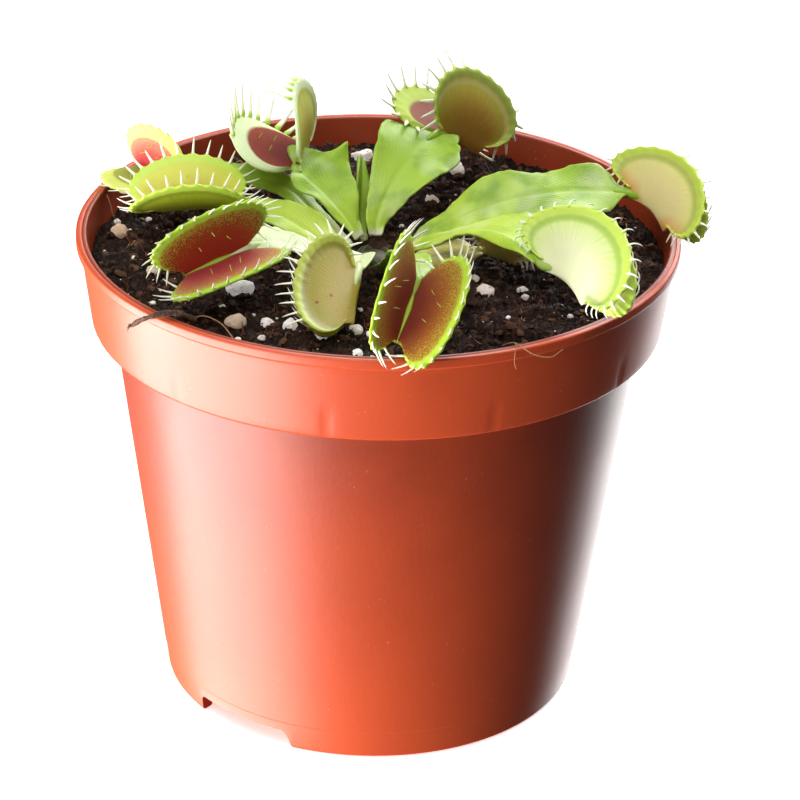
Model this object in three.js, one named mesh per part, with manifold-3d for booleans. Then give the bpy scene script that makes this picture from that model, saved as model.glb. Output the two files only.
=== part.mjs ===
// A Venus flytrap in a nursery pot. Millimetres, +Z up, origin at the middle of the pot's underside.
// The leaves are the plant's own: each is one solid, a flat winged stalk that ends in a toothed trap.
import * as THREE from "three";
import { mergeVertices } from "three/addons/utils/BufferGeometryUtils.js";
import Module from "manifold-3d";

// Pot, a standard 9 cm round one
const RIM_RADIUS = 45;
const POT_HEIGHT = 72.8;
const WALL = 1.4;
const BEAD_HEIGHT = 1.6;
const SOFT = 0.5; // how far the corners of its section are cut back
const COLLAR = { depth: 13.7, topRadius: 44.4, bottomRadius: 42.8 };
const STEP_RADIUS = 39.6;
const FOOT_RADIUS = 31.1;
const FOOT_WIDTH = 1.6;
const PAD_RADIUS = 16; // the flat disc in the middle of the underside
const CHANNEL_HEIGHT = 2.6; // the underside between pad and foot is raised by this
const FLOOR = 1.5;
const NOTCHES = { azimuths: [-38, 142], width: 16.5, height: 2.9, depth: 7 };
const DRAINS = { count: 6, radius: 3, ring: 23.4 };
const POT_SIDES = 44;

// Soil
const CLEARANCE = 0.3; // between neighbouring solids
const SOIL_LEVEL = 68.5;
const SOIL_RINGS = 8;
const SOIL_SIDES = 36;
const BUMP = 0.75;

// Crown, the short stem that the leaves grow from
const CROWN = { x: -0.6, y: -3.2, radius: 3.4, top: 71.4, bottom: 58 };

// Leaves
const BLADE = 0.75; // thickness of a stalk's wings
const LOBE = 0.8; // thickness of a trap's lobe
const MIDRIB_SHARE = 0.58; // a trap's midrib over the length of its lobes
const LOBE_END = 1.0; // how far a lobe still reaches beside the ends of the midrib
const LOBE_STEPS = 10;
const LOBE_ROWS = 3;
const BLADE_STEPS = 8;
const BLADE_ROWS = 4;
const MIDRIB_RADIUS = 0.6;
const NECK = { radius: 0.95, dryRadius: 0.6, reach: 1.6 };
const TOOTH_ROOT = 0.42;
const TWIG_RADIUS = 0.45;

const COLOURS = {
  pot: { color: 0xc4532f, roughness: 0.38, metalness: 0 },
  soil: { color: 0x2a1c15, roughness: 0.95, metalness: 0 },
  crown: { color: 0xb9c27a, roughness: 0.5, metalness: 0 },
  leaf: { color: 0x7fae2e, roughness: 0.42, metalness: 0 },
  dry: { color: 0xc9bf6a, roughness: 0.6, metalness: 0 },
  twig: { color: 0x4a3021, roughness: 0.9, metalness: 0 },
};

// Every leaf: the stalk's path from crown to trap, its half widths to the left and right of that path
// at each point, the way its upper face looks at both ends, how far its edges rise and wave, and the trap:
// where its midrib starts, which way it runs and its mouth looks, half the length of a lobe, the lobe's
// depth, the angle between each lobe and the mouth's direction at the midrib, the angle that a lobe bends
// back by its margin and the midrib by its end, and the length of the teeth and their lean to the mouth.
const LEAVES = [
  {
    name: "leaf_left",
    path: [[-4.9, -4.0, 69.9], [-8.9, -3.6, 72.3], [-13.4, -1.9, 74.6],
      [-18.4, -0.9, 75.9], [-22.6, -0.3, 76.2]],
    left: [0.8, 1.7, 2.6, 2.4, 0.7],
    right: [0.8, 3.9, 3.4, 2.3, 0.7],
    face: [[0.1, -0.3, 0.95], [0.1, -0.35, 0.93]],
    fold: 0.12, wave: 0.35, waves: 2,
    trap: {
      base: [-23.4, -0.2, 76.3], along: [-1, -0.09, 0.03], mouth: [0.02, 0.08, 1],
      half: 8.3, depth: 9.3, open: [80, 77], bend: 48, arch: 14, tooth: 2.5, lean: 25,
    },
  },
  {
    name: "leaf_far_left",
    path: [[-4.3, -1.4, 70.2], [-10.6, 6.2, 73.2], [-14.2, 9.9, 74.8],
      [-20.6, 12.0, 75.6], [-26.7, 12.0, 75.4], [-31.0, 11.0, 75.1]],
    left: [0.8, 1.6, 1.9, 2.3, 2.4, 0.7],
    right: [0.8, 1.6, 1.9, 2.4, 2.5, 0.7],
    face: [[0.1, -0.3, 0.95], [0.1, -0.35, 0.93]],
    fold: 0.1, wave: 0.3, waves: 2,
    trap: {
      base: [-31.9, 11.1, 75.2], along: [-0.67, 0.74, -0.06], mouth: [-0.26, -0.15, 0.95],
      half: 6.5, depth: 7.0, open: [25, 82], bend: 12, arch: 0, tooth: 2.6, lean: 15,
    },
  },
  {
    name: "leaf_back_left",
    path: [[-2.9, 0.2, 71.0], [-4.8, 1.2, 73.6], [-8.2, 3.2, 76.8],
      [-11.1, 4.8, 78.8], [-12.4, 6.0, 79.3]],
    left: [0.8, 1.2, 2.0, 2.6, 1.2],
    right: [0.8, 2.6, 5.9, 9.0, 8.2],
    face: [[0.5, -0.6, 0.62], [0.25, -0.5, 0.83]],
    fold: 0.12, wave: 0.45, waves: 2.5,
    trap: {
      base: [-12.6, 6.4, 79.5], along: [0.11, 0.99, -0.1], mouth: [-0.37, 0.11, 0.92],
      half: 9.4, depth: 11.5, open: [37, 62], bend: 42, arch: 0, tooth: 5.6, lean: 45,
    },
  },
  {
    name: "leaf_back",
    path: [[-0.5, 0.8, 71.2], [-0.4, 2.0, 73.4], [1.2, 4.8, 76.8],
      [4.0, 9.6, 80.0], [6.2, 13.2, 81.0], [8.1, 15.9, 81.2]],
    left: [0.8, 1.5, 2.9, 5.2, 6.3, 1.6],
    right: [0.8, 1.6, 3.4, 5.9, 6.6, 5.2],
    face: [[0.1, -0.75, 0.62], [-0.05, -0.5, 0.85]],
    fold: 0.14, wave: 0.5, waves: 2,
    trap: {
      base: [8.7, 16.9, 81.2], along: [0.6, 0.7, -0.4], mouth: [-0.05, 0.35, 0.93],
      half: 9.5, depth: 10.8, open: [32, 66], bend: 50, arch: 24, tooth: 3.6, lean: 20,
    },
  },
  {
    name: "leaf_right",
    path: [[4.0, -3.0, 70.3], [9.4, -2.2, 74.2], [17.0, -0.9, 77.6],
      [25.6, -0.2, 79.3], [33.4, 0.9, 79.2], [36.6, 1.2, 79.0]],
    left: [0.8, 2.6, 5.0, 4.6, 4.6, 0.9],
    right: [0.8, 2.2, 4.4, 4.6, 4.2, 0.9],
    face: [[-0.3, -0.35, 0.88], [0, -0.3, 0.95]],
    fold: 0.1, wave: 0.6, waves: 3,
    trap: {
      base: [37.5, 0.9, 78.9], along: [0.61, -0.78, 0.14], mouth: [0.47, 0.5, 0.73],
      half: 9.8, depth: 8.0, open: [32, 32], bend: 64, arch: 67, tooth: 2.4, lean: 10,
    },
  },
  {
    name: "leaf_front_right",
    path: [[2.7, -5.4, 71.3], [8.4, -9.4, 75.4], [14.4, -14.6, 79.4],
      [19.6, -20.6, 80.8], [23.0, -25.8, 79.6]],
    left: [0.8, 3.2, 6.2, 6.4, 2.0],
    right: [0.8, 1.6, 1.7, 2.0, 1.0],
    face: [[-0.35, 0.1, 0.92], [0.1, -0.15, 0.95]],
    fold: -0.08, wave: 0.4, waves: 2,
    trap: {
      base: [23.7, -26.8, 79.5], along: [0.61, -0.76, 0.21], mouth: [0.46, 0.55, 0.69],
      half: 11.0, depth: 9.9, open: [32, 32], bend: 61, arch: 68, tooth: 2.2, lean: 35,
    },
  },
  {
    name: "leaf_front",
    path: [[0.6, -7.9, 69.9], [2.4, -14.0, 74.0], [4.3, -22.0, 78.4],
      [5.3, -29.6, 80.0], [5.5, -33.0, 80.0]],
    left: [0.8, 1.7, 2.4, 2.2, 0.8],
    right: [0.8, 1.7, 2.4, 2.2, 0.8],
    face: [[0, 0.4, 0.9], [0.1, 0.1, 0.99]],
    fold: 0.15, wave: 0.25, waves: 2,
    trap: {
      base: [5.5, -33.8, 79.9], along: [-0.24, -0.86, -0.45], mouth: [0.34, -0.51, 0.79],
      half: 9.2, depth: 9.2, open: [52, 52], bend: 30, arch: 10, tooth: 3.2, lean: 35,
    },
  },
  {
    name: "leaf_front_left",
    path: [[-1.8, -6.8, 71.2], [-2.4, -11.4, 73.6], [-2.7, -16.2, 75.2],
      [-2.9, -20.8, 75.6]],
    left: [0.8, 1.5, 2.0, 0.9],
    right: [0.8, 1.5, 2.0, 0.9],
    face: [[0, 0.3, 0.93], [0.1, 0.2, 0.97]],
    fold: 0.3, wave: 0.15, waves: 2,
    trap: {
      base: [-3.0, -21.8, 75.5], along: [-0.16, -0.91, -0.39], mouth: [-0.96, 0.05, 0.29],
      half: 8.5, depth: 8.5, open: [26, 26], bend: 44, arch: 12, tooth: 2.8, lean: 5,
    },
  },
  {
    name: "leaf_near_left",
    path: [[-4.0, -5.6, 71.1], [-7.4, -9.0, 72.8], [-11.8, -12.2, 75.0],
      [-15.8, -14.4, 76.8], [-18.2, -16.4, 76.8]],
    left: [0.8, 1.5, 2.2, 2.4, 0.9],
    right: [0.8, 1.6, 2.4, 3.1, 1.0],
    face: [[-0.1, -0.2, 0.97], [0, -0.35, 0.93]],
    fold: 0.16, wave: 0.3, waves: 2,
    trap: {
      base: [-18.9, -17.0, 76.7], along: [-0.84, -0.5, -0.19], mouth: [0.23, -0.66, 0.72],
      half: 8.9, depth: 8.8, open: [47, 51], bend: 28, arch: 8, tooth: 2.8, lean: 30,
    },
  },
  {
    name: "leaf_withered",
    path: [[3.6, -6.6, 69.9], [8.0, -6.6, 71.0], [12.0, -5.9, 71.6], [15.4, -5.4, 71.9]],
    left: [0.8, 3.0, 3.6, 1.0],
    right: [0.8, 2.2, 3.0, 1.0],
    face: [[-0.1, -0.1, 0.98], [0, -0.2, 0.97]],
    fold: 0.05, wave: 0.3, waves: 2,
    dry: true,
    trap: {
      base: [16.2, -5.6, 72.1], along: [0.8, -0.5, -0.05], mouth: [0.3, 0.35, 0.85],
      half: 4.2, depth: 3.4, open: [60, 66], bend: 40, arch: 0, tooth: 2.0, lean: -10,
    },
  },
  {
    name: "leaf_young",
    path: [[-2.4, 1.6, 69.9], [-2.9, 4.2, 73.0], [-2.8, 8.7, 76.4], [-2.9, 13.0, 78.6]],
    left: [0.7, 0.9, 1.2, 0.6],
    right: [0.7, 0.9, 1.2, 0.6],
    face: [[0.7, -0.4, 0.5], [0.7, -0.4, 0.5]],
    fold: 0.3, wave: 0.1, waves: 1,
  },
];

// Perlite grains in the soil's surface: x, y and width
const PERLITE = [
  [-38.9, 2.7, 2.9], [-20.2, -15, 4.1], [-20.1, -26.8, 3.5], [-15.6, -25.9, 2.2], [-12.4, -26.5, 2.6],
  [-7.5, -30.5, 2.6], [-3.1, -27, 2.2], [-0.8, -29, 1.7], [15.8, -13.8, 2.6], [21.2, -11.8, 1.7],
  [-2.9, 36, 3.6], [8.1, 19, 2.3], [27, 9, 2.4], [-24, 27, 3], [12, 31, 2.8], [-33, -9, 2.2], [30, 20, 2.2],
];

const wasm = await Module();
wasm.setup();

// Repeatable random numbers from 0 to 1
function seeded(seed) {
  let state = seed;
  return () => {
    state = (state * 1664525 + 1013904223) % 4294967296;
    return state / 4294967296;
  };
}

function toSolid(geometry) {
  const plain = geometry.clone();
  for (const name of Object.keys(plain.attributes)) if (name !== "position") plain.deleteAttribute(name);
  const merged = mergeVertices(plain, 1e-4);
  return new wasm.Manifold(
    new wasm.Mesh({
      numProp: 3,
      vertProperties: new Float32Array(merged.attributes.position.array),
      triVerts: new Uint32Array(merged.index.array),
    }),
  );
}

function toGeometry(solid) {
  const mesh = solid.getMesh();
  const geometry = new THREE.BufferGeometry();
  geometry.setAttribute("position", new THREE.BufferAttribute(new Float32Array(mesh.vertProperties), 3));
  geometry.setIndex(new THREE.BufferAttribute(new Uint32Array(mesh.triVerts), 1));
  geometry.computeVertexNormals();
  return geometry;
}

// The main body of a solid, without the scraps that crossing faces leave behind
function largest(solid) {
  return solid.decompose().reduce((kept, body) => (body.volume() > kept.volume() ? body : kept));
}

const vector = (list) => new THREE.Vector3(...list);
const unit = (list) => vector(list).normalize();
const radians = THREE.MathUtils.degToRad;

// A closed plate from a grid of points with a normal each: both faces are split into triangles alike.
function plate(points, normals, thicknessAt) {
  const rows = points.length;
  const columns = points[0].length;
  const position = [];
  for (const side of [1, -1]) {
    points.forEach((row, i) =>
      row.forEach((point, j) => {
        const offset = (side * thicknessAt(i, j)) / 2;
        position.push(...point.clone().addScaledVector(normals[i][j], offset).toArray());
      }),
    );
  }
  const at = (i, j, below) => i * columns + j + (below ? rows * columns : 0);
  const index = [];
  const quad = (a, b, c, d) => index.push(a, b, c, a, c, d);
  for (let i = 0; i < rows - 1; i++) {
    for (let j = 0; j < columns - 1; j++) {
      quad(at(i, j), at(i + 1, j), at(i + 1, j + 1), at(i, j + 1));
      index.push(at(i, j, 1), at(i + 1, j + 1, 1), at(i + 1, j, 1));
      index.push(at(i, j, 1), at(i, j + 1, 1), at(i + 1, j + 1, 1));
    }
    quad(at(i, 0, 1), at(i + 1, 0, 1), at(i + 1, 0), at(i, 0));
    quad(at(i, columns - 1), at(i + 1, columns - 1), at(i + 1, columns - 1, 1), at(i, columns - 1, 1));
  }
  for (let j = 0; j < columns - 1; j++) {
    quad(at(0, j), at(0, j + 1), at(0, j + 1, 1), at(0, j, 1));
    quad(at(rows - 1, j, 1), at(rows - 1, j + 1, 1), at(rows - 1, j + 1), at(rows - 1, j));
  }
  const geometry = new THREE.BufferGeometry();
  geometry.setAttribute("position", new THREE.Float32BufferAttribute(position, 3));
  geometry.setIndex(index);
  return geometry;
}

// Normals of a grid of points, from the way to its neighbours
function gridNormals(points) {
  return points.map((row, i) =>
    row.map((_, j) => {
      const down = points[Math.min(i + 1, points.length - 1)][j];
      const up = points[Math.max(i - 1, 0)][j];
      const right = row[Math.min(j + 1, row.length - 1)];
      const left = row[Math.max(j - 1, 0)];
      return down.clone().sub(up).cross(right.clone().sub(left)).normalize();
    }),
  );
}

// A value from a list that is spread evenly over 0 to 1, eased between its entries
function along(list, s) {
  const place = Math.min(s, 0.99999) * (list.length - 1);
  const k = Math.floor(place);
  const f = place - k;
  const eased = f * f * (3 - 2 * f);
  return list[k] + (list[k + 1] - list[k]) * eased;
}

function makeStalk(leaf) {
  const curve = new THREE.CatmullRomCurve3(leaf.path.map(vector), false, "centripetal");
  const points = [];
  for (let i = 0; i <= BLADE_STEPS; i++) {
    const s = i / BLADE_STEPS;
    const centre = curve.getPoint(s);
    const forward = curve.getTangent(s);
    const face = unit(leaf.face[0]).lerp(unit(leaf.face[1]), s);
    const left = face.clone().cross(forward).normalize();
    const up = forward.clone().cross(left);
    const row = [];
    for (let j = 0; j <= BLADE_ROWS; j++) {
      const v = (2 * j) / BLADE_ROWS - 1;
      const half = v < 0 ? along(leaf.left, s) : along(leaf.right, s);
      const phase = 2 * Math.PI * leaf.waves * s + (v < 0 ? 0 : 2);
      const ripple = leaf.wave * v * v * Math.sin(phase) * Math.min(1, half / 2);
      const rise = leaf.fold * half * v * v + ripple;
      row.push(centre.clone().addScaledVector(left, -v * half).addScaledVector(up, rise));
    }
    points.push(row);
  }
  const normals = gridNormals(points);
  return plate(points, normals, (i, j) => BLADE * (j === BLADE_ROWS / 2 ? 1.5 : 1));
}

// The frame of a trap, and the place of a point that lies x along the midrib from its middle and y out
// towards the margin, on the lobe of the given side
function trapFrame(trap) {
  const a = unit(trap.along);
  const mouth = vector(trap.mouth);
  const n = mouth.addScaledVector(a, -mouth.dot(a)).normalize();
  return { a, n, side: a.clone().cross(n), base: vector(trap.base) };
}

function trapPoint(trap, frame, sign, x, y) {
  const lean = radians(trap.open[sign > 0 ? 0 : 1]);
  const bend = radians(trap.bend) / trap.depth;
  const rise = (Math.sin(lean) - Math.sin(lean - bend * y)) / bend;
  const out = (Math.cos(lean - bend * y) - Math.cos(lean)) / bend;
  const arch = radians(Math.max(trap.arch, 0.1)) / (2 * trap.half);
  const turn = arch * (x + trap.half * MIDRIB_SHARE);
  const up = frame.n.clone().multiplyScalar(Math.cos(turn)).addScaledVector(frame.a, Math.sin(turn));
  return frame.base
    .clone()
    .addScaledVector(frame.a, Math.sin(turn) / arch)
    .addScaledVector(frame.n, -(1 - Math.cos(turn)) / arch)
    .addScaledVector(up, rise)
    .addScaledVector(frame.side, sign * out);
}

// The margin of a lobe laid flat: part of an ellipse that ends beside the ends of the midrib
function marginPoint(trap, t) {
  const slope = Math.sqrt(1 - MIDRIB_SHARE * MIDRIB_SHARE);
  const centre = (slope * trap.depth + LOBE_END) / (1 + slope);
  const angle = t * (Math.PI / 2 + Math.acos(MIDRIB_SHARE));
  return [trap.half * Math.sin(angle), centre + (trap.depth - centre) * Math.cos(angle)];
}

// The normal of a lobe's middle surface at the same x and y
function trapNormal(trap, frame, sign, x, y) {
  const step = 0.05;
  const ahead = trapPoint(trap, frame, sign, x + step, y).sub(trapPoint(trap, frame, sign, x - step, y));
  const outward = trapPoint(trap, frame, sign, x, y + step).sub(trapPoint(trap, frame, sign, x, y - step));
  return ahead.cross(outward).normalize();
}

function makeLobe(trap, frame, sign) {
  const points = [];
  const normals = [];
  for (let i = 0; i <= LOBE_STEPS; i++) {
    const t = (2 * i) / LOBE_STEPS - 1;
    const [mx, my] = marginPoint(trap, t);
    const foot = trap.half * MIDRIB_SHARE * t * Math.abs(t); // so that the rows fan out and don't cross
    const places = [];
    for (let j = 0; j <= LOBE_ROWS; j++) {
      const reach = j / LOBE_ROWS;
      places.push([THREE.MathUtils.lerp(foot, mx, reach), my * reach]);
    }
    points.push(places.map(([x, y]) => trapPoint(trap, frame, sign, x, y)));
    normals.push(places.map(([x, y]) => trapNormal(trap, frame, sign, x, y)));
  }
  return plate(points, normals, () => LOBE);
}

// The thick midrib that both lobes fold at
function makeMidrib(trap, frame) {
  const reach = trap.half * MIDRIB_SHARE - MIDRIB_RADIUS;
  const points = [-reach, -reach / 2, 0, reach / 2, reach].map((x) => trapPoint(trap, frame, 1, x, 0));
  return tube(new THREE.CatmullRomCurve3(points), MIDRIB_RADIUS, 4);
}

// One tooth: a three-sided point whose root lies inside the margin
function tooth(root, tip, across) {
  const way = tip.clone().sub(root).normalize();
  const one = across.clone().addScaledVector(way, -across.dot(way)).normalize();
  const two = way.clone().cross(one);
  const ring = [0, 1, 2].map((k) => {
    const angle = (2 * Math.PI * k) / 3;
    const spoke = one.clone().multiplyScalar(Math.cos(angle)).addScaledVector(two, Math.sin(angle));
    return root.clone().addScaledVector(spoke, TOOTH_ROOT);
  });
  const corners = [...ring, tip];
  const geometry = new THREE.BufferGeometry();
  const numbers = corners.flatMap((corner) => corner.toArray());
  geometry.setAttribute("position", new THREE.Float32BufferAttribute(numbers, 3));
  geometry.setIndex([0, 2, 1, 0, 1, 3, 1, 2, 3, 2, 0, 3]);
  return geometry;
}

// One tooth at each inner corner of both margins. It goes on in the lobe's own curve and leans towards the
// mouth by trap.lean degrees.
function makeTeeth(trap, frame) {
  const teeth = [];
  for (const sign of [1, -1]) {
    for (let i = 1; i < LOBE_STEPS; i++) {
      const t = (2 * i) / LOBE_STEPS - 1;
      const [x, y] = marginPoint(trap, t);
      const [nx, ny] = marginPoint(trap, t + 0.02);
      const outward = new THREE.Vector2(-(ny - y), nx - x).normalize();
      const root = trapPoint(trap, frame, sign, x - outward.x * 0.5, y - outward.y * 0.5);
      const edge = trapPoint(trap, frame, sign, x + outward.x * 0.3, y + outward.y * 0.3);
      const next = trapPoint(trap, frame, sign, nx, ny);
      const ahead = edge.clone().sub(root).normalize();
      const tangent = next.sub(trapPoint(trap, frame, sign, x, y)).normalize();
      const inward = ahead.clone().cross(tangent).multiplyScalar(sign).normalize();
      const lean = radians(trap.lean);
      const size = trap.tooth * (0.72 + 0.28 * Math.cos(t * 1.4)) + 0.5;
      const tip = root
        .clone()
        .addScaledVector(ahead, size * Math.cos(lean))
        .addScaledVector(inward, size * Math.sin(lean));
      teeth.push(tooth(root, tip, tangent));
    }
  }
  return teeth;
}

// A closed round rod along a curve
function tube(route, radius, steps) {
  const section = new THREE.Shape();
  section.absarc(0, 0, radius, 0, 2 * Math.PI);
  const settings = { steps, curveSegments: 3, bevelEnabled: false, extrudePath: route };
  return new THREE.ExtrudeGeometry(section, settings);
}

// The neck between stalk and trap, with its ends inside both
function makeNeck(leaf, frame) {
  const end = vector(leaf.path[leaf.path.length - 1]);
  const before = vector(leaf.path[leaf.path.length - 2]);
  const back = end.clone().lerp(before, 0.35);
  const inside = frame.base.clone().addScaledVector(frame.a, NECK.reach);
  return tube(new THREE.LineCurve3(back, inside), leaf.dry ? NECK.dryRadius : NECK.radius, 2);
}

function makeLeaf(leaf) {
  let solid = toSolid(makeStalk(leaf));
  if (leaf.trap) {
    const frame = trapFrame(leaf.trap);
    const pieces = [makeNeck(leaf, frame), makeMidrib(leaf.trap, frame)];
    for (const sign of [1, -1]) pieces.push(makeLobe(leaf.trap, frame, sign));
    pieces.push(...makeTeeth(leaf.trap, frame));
    for (const piece of pieces) solid = solid.add(toSolid(piece));
  }
  // Scraps that touch the leaf in one corner come loose once its corners are merged, so they go after that.
  return largest(toSolid(toGeometry(largest(solid))));
}

// A block that reaches in through the foot by the given depth, at an azimuth counted from the pot's front
function radialBlock(azimuth, width, height, depth) {
  const past = 3;
  const block = new THREE.BoxGeometry(width, depth + past, height);
  block.translate(0, -(FOOT_RADIUS + (past - depth) / 2), height / 2);
  block.rotateZ(radians(azimuth));
  return block;
}

function makePot() {
  const stepZ = POT_HEIGHT - COLLAR.depth;
  const beadZ = POT_HEIGHT - BEAD_HEIGHT;
  const floorTop = CHANNEL_HEIGHT + FLOOR;
  const outside = [
    [PAD_RADIUS, 0], [PAD_RADIUS + 2, CHANNEL_HEIGHT], [FOOT_RADIUS - FOOT_WIDTH, CHANNEL_HEIGHT],
    [FOOT_RADIUS - FOOT_WIDTH, 0], [FOOT_RADIUS, 0], [FOOT_RADIUS + SOFT, SOFT],
    [STEP_RADIUS, stepZ - SOFT], [STEP_RADIUS + SOFT, stepZ],
    [COLLAR.bottomRadius - SOFT, stepZ], [COLLAR.bottomRadius, stepZ + SOFT],
    [COLLAR.topRadius, beadZ - 0.2], [RIM_RADIUS, beadZ + 0.2],
    [RIM_RADIUS, POT_HEIGHT - SOFT], [RIM_RADIUS - SOFT, POT_HEIGHT],
  ];
  const inside = [
    [RIM_RADIUS - BEAD_HEIGHT, POT_HEIGHT], [COLLAR.topRadius - WALL, beadZ - 0.8],
    [COLLAR.bottomRadius - WALL, stepZ + WALL], [STEP_RADIUS - WALL, stepZ - WALL],
    [FOOT_RADIUS - WALL / 2, floorTop], [PAD_RADIUS + 1.2, floorTop], [PAD_RADIUS - 0.8, FLOOR],
  ];
  const outline = [[0, 0], ...outside, ...inside, [0, FLOOR]];
  const shell = new THREE.LatheGeometry(outline.map(([r, z]) => new THREE.Vector2(r, z)), POT_SIDES);
  shell.rotateX(Math.PI / 2);
  let solid = toSolid(shell);
  for (const azimuth of NOTCHES.azimuths) {
    const cut = radialBlock(azimuth, NOTCHES.width, NOTCHES.height + 1, NOTCHES.depth);
    cut.translate(0, 0, -1);
    solid = solid.subtract(toSolid(cut));
  }
  for (let k = 0; k < DRAINS.count; k++) {
    const angle = (2 * Math.PI * (k + 0.5)) / DRAINS.count;
    const drain = new THREE.CylinderGeometry(DRAINS.radius, DRAINS.radius, 8, 10);
    drain.rotateX(Math.PI / 2);
    drain.translate(DRAINS.ring * Math.sin(angle), DRAINS.ring * Math.cos(angle), floorTop - 1);
    solid = solid.subtract(toSolid(drain));
  }
  return solid;
}

// Height of the soil's surface: a low mound with bumps of two sizes
function soilHeight(x, y) {
  const reach = Math.hypot(x, y) / RIM_RADIUS;
  const coarse = Math.sin(0.31 * x + 1.1) * Math.cos(0.27 * y - 0.4);
  const fine = Math.sin(0.83 * x - 0.5 * y) * Math.cos(0.71 * y + 0.37 * x + 2);
  return SOIL_LEVEL + 0.8 * (1 - reach * reach) + BUMP * (0.7 * coarse + 0.5 * fine);
}

function makeSoil() {
  const stepZ = POT_HEIGHT - COLLAR.depth;
  const slope = (COLLAR.topRadius - COLLAR.bottomRadius) / COLLAR.depth;
  const edge = COLLAR.bottomRadius - WALL - CLEARANCE + slope * (SOIL_LEVEL - stepZ - WALL);
  const floorTop = CHANNEL_HEIGHT + FLOOR;
  const outline = [
    [0, FLOOR + CLEARANCE], [PAD_RADIUS - 1, FLOOR + CLEARANCE], [PAD_RADIUS + 1, floorTop + CLEARANCE],
    [FOOT_RADIUS - WALL / 2 - CLEARANCE, floorTop + CLEARANCE],
    [STEP_RADIUS - WALL - CLEARANCE, stepZ - WALL + 0.1],
    [COLLAR.bottomRadius - WALL - CLEARANCE, stepZ + WALL + 0.2], [edge, SOIL_LEVEL],
  ];
  for (let k = SOIL_RINGS - 1; k >= 0; k--) outline.push([(edge * k) / SOIL_RINGS, SOIL_LEVEL]);
  const body = new THREE.LatheGeometry(outline.map(([r, z]) => new THREE.Vector2(r, z)), SOIL_SIDES);
  body.rotateX(Math.PI / 2);
  const position = body.getAttribute("position");
  for (let k = 0; k < position.count; k++) {
    if (position.getZ(k) < SOIL_LEVEL - 0.01) continue;
    const x = position.getX(k);
    const y = position.getY(k);
    const calm = Math.hypot(x, y) > edge - 0.5 ? 0.3 : 1;
    position.setZ(k, SOIL_LEVEL + calm * (soilHeight(x, y) - SOIL_LEVEL));
  }
  let solid = toSolid(body);
  const random = seeded(11);
  for (const [x, y, width] of PERLITE) {
    const grain = new THREE.IcosahedronGeometry(width / 2, 0);
    grain.scale(1, 0.7 + 0.3 * random(), 0.75);
    grain.rotateX(random() * 3);
    grain.rotateZ(random() * 6);
    grain.translate(x, y, soilHeight(x, y) + width * 0.12);
    solid = solid.add(toSolid(grain));
  }
  const hole = new THREE.CylinderGeometry(CROWN.radius + CLEARANCE, CROWN.radius + CLEARANCE, 30, 20);
  hole.rotateX(Math.PI / 2);
  hole.translate(CROWN.x, CROWN.y, CROWN.bottom - CLEARANCE + 15);
  return solid.subtract(toSolid(hole));
}

function makeCrown() {
  const { radius, top, bottom } = CROWN;
  const outline = [
    [0, bottom], [radius * 0.6, bottom], [radius, bottom + 3], [radius, top - 2.2],
    [radius * 0.75, top - 0.8], [radius * 0.4, top - 0.2], [0, top],
  ];
  const stub = new THREE.LatheGeometry(outline.map(([r, z]) => new THREE.Vector2(r, z)), 20);
  stub.rotateX(Math.PI / 2);
  stub.translate(CROWN.x, CROWN.y, 0);
  return toSolid(stub);
}

// A dark twig that lies over the front left of the rim
function makeTwig() {
  const route = new THREE.CatmullRomCurve3(
    [[-35.0, -31.2, 70.6], [-32.6, -33.8, 73.2], [-28.9, -33.2, 73.9], [-25.6, -30.6, 71.5]].map(vector),
  );
  return toSolid(tube(route, TWIG_RADIUS, 8));
}

const plant = new THREE.Group();

function addPiece(name, solid, look) {
  const mesh = new THREE.Mesh(toGeometry(solid), new THREE.MeshStandardMaterial(look));
  mesh.name = name;
  plant.add(mesh);
}

addPiece("pot", makePot(), COLOURS.pot);
addPiece("soil", makeSoil(), COLOURS.soil);
addPiece("crown", makeCrown(), COLOURS.crown);
for (const leaf of LEAVES) addPiece(leaf.name, makeLeaf(leaf), leaf.dry ? COLOURS.dry : COLOURS.leaf);
addPiece("twig", makeTwig(), COLOURS.twig);

export default plant;
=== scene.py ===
# %% [markdown]
# # A Venus flytrap in its nursery pot
#
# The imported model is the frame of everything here. It holds the pot, the soil, the crown and eleven leaves
# as plain solids, in their real places and at their real size. Blender adds what those solids leave out:
# rounded plastic, crumbly peat, thin veined leaves, traps with thick rims and fine teeth. Each new piece
# stands where its solid stands, so nothing has to be fitted by eye.

# %% Load the frame
import math
import random

import bmesh
import bpy
from mathutils import Matrix, Vector, noise


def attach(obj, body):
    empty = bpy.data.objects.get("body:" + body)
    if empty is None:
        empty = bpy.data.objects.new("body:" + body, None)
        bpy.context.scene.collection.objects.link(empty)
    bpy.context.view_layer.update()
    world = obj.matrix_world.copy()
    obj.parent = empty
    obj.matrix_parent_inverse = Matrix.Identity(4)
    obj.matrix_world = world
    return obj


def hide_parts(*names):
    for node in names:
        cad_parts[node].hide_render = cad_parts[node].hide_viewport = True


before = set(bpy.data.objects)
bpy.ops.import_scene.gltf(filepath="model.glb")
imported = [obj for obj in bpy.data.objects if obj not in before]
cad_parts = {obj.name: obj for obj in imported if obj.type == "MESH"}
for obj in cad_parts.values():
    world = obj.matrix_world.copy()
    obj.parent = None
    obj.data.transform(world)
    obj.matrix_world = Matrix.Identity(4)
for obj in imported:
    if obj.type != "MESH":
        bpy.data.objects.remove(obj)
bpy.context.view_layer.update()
print("CAD nodes:", ", ".join(sorted(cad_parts)))

# %% [markdown]
# ## The camera
#
# The pot is seen from half a metre in front and from above, almost 27 degrees down. A long lens keeps its
# sides nearly straight. The horizon of the picture slopes by a degree and a half, which the last turn
# gives.

# %% Place the camera
CAMERA_PLACE = (0, -0.51336, 0.30158)
LOOK_DOWN = 0.46457
LOOK_RIGHT = 0.00738
SLOPE = 0.02534
LENS = 169.7  # millimetres, before a sensor 36 mm wide

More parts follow.
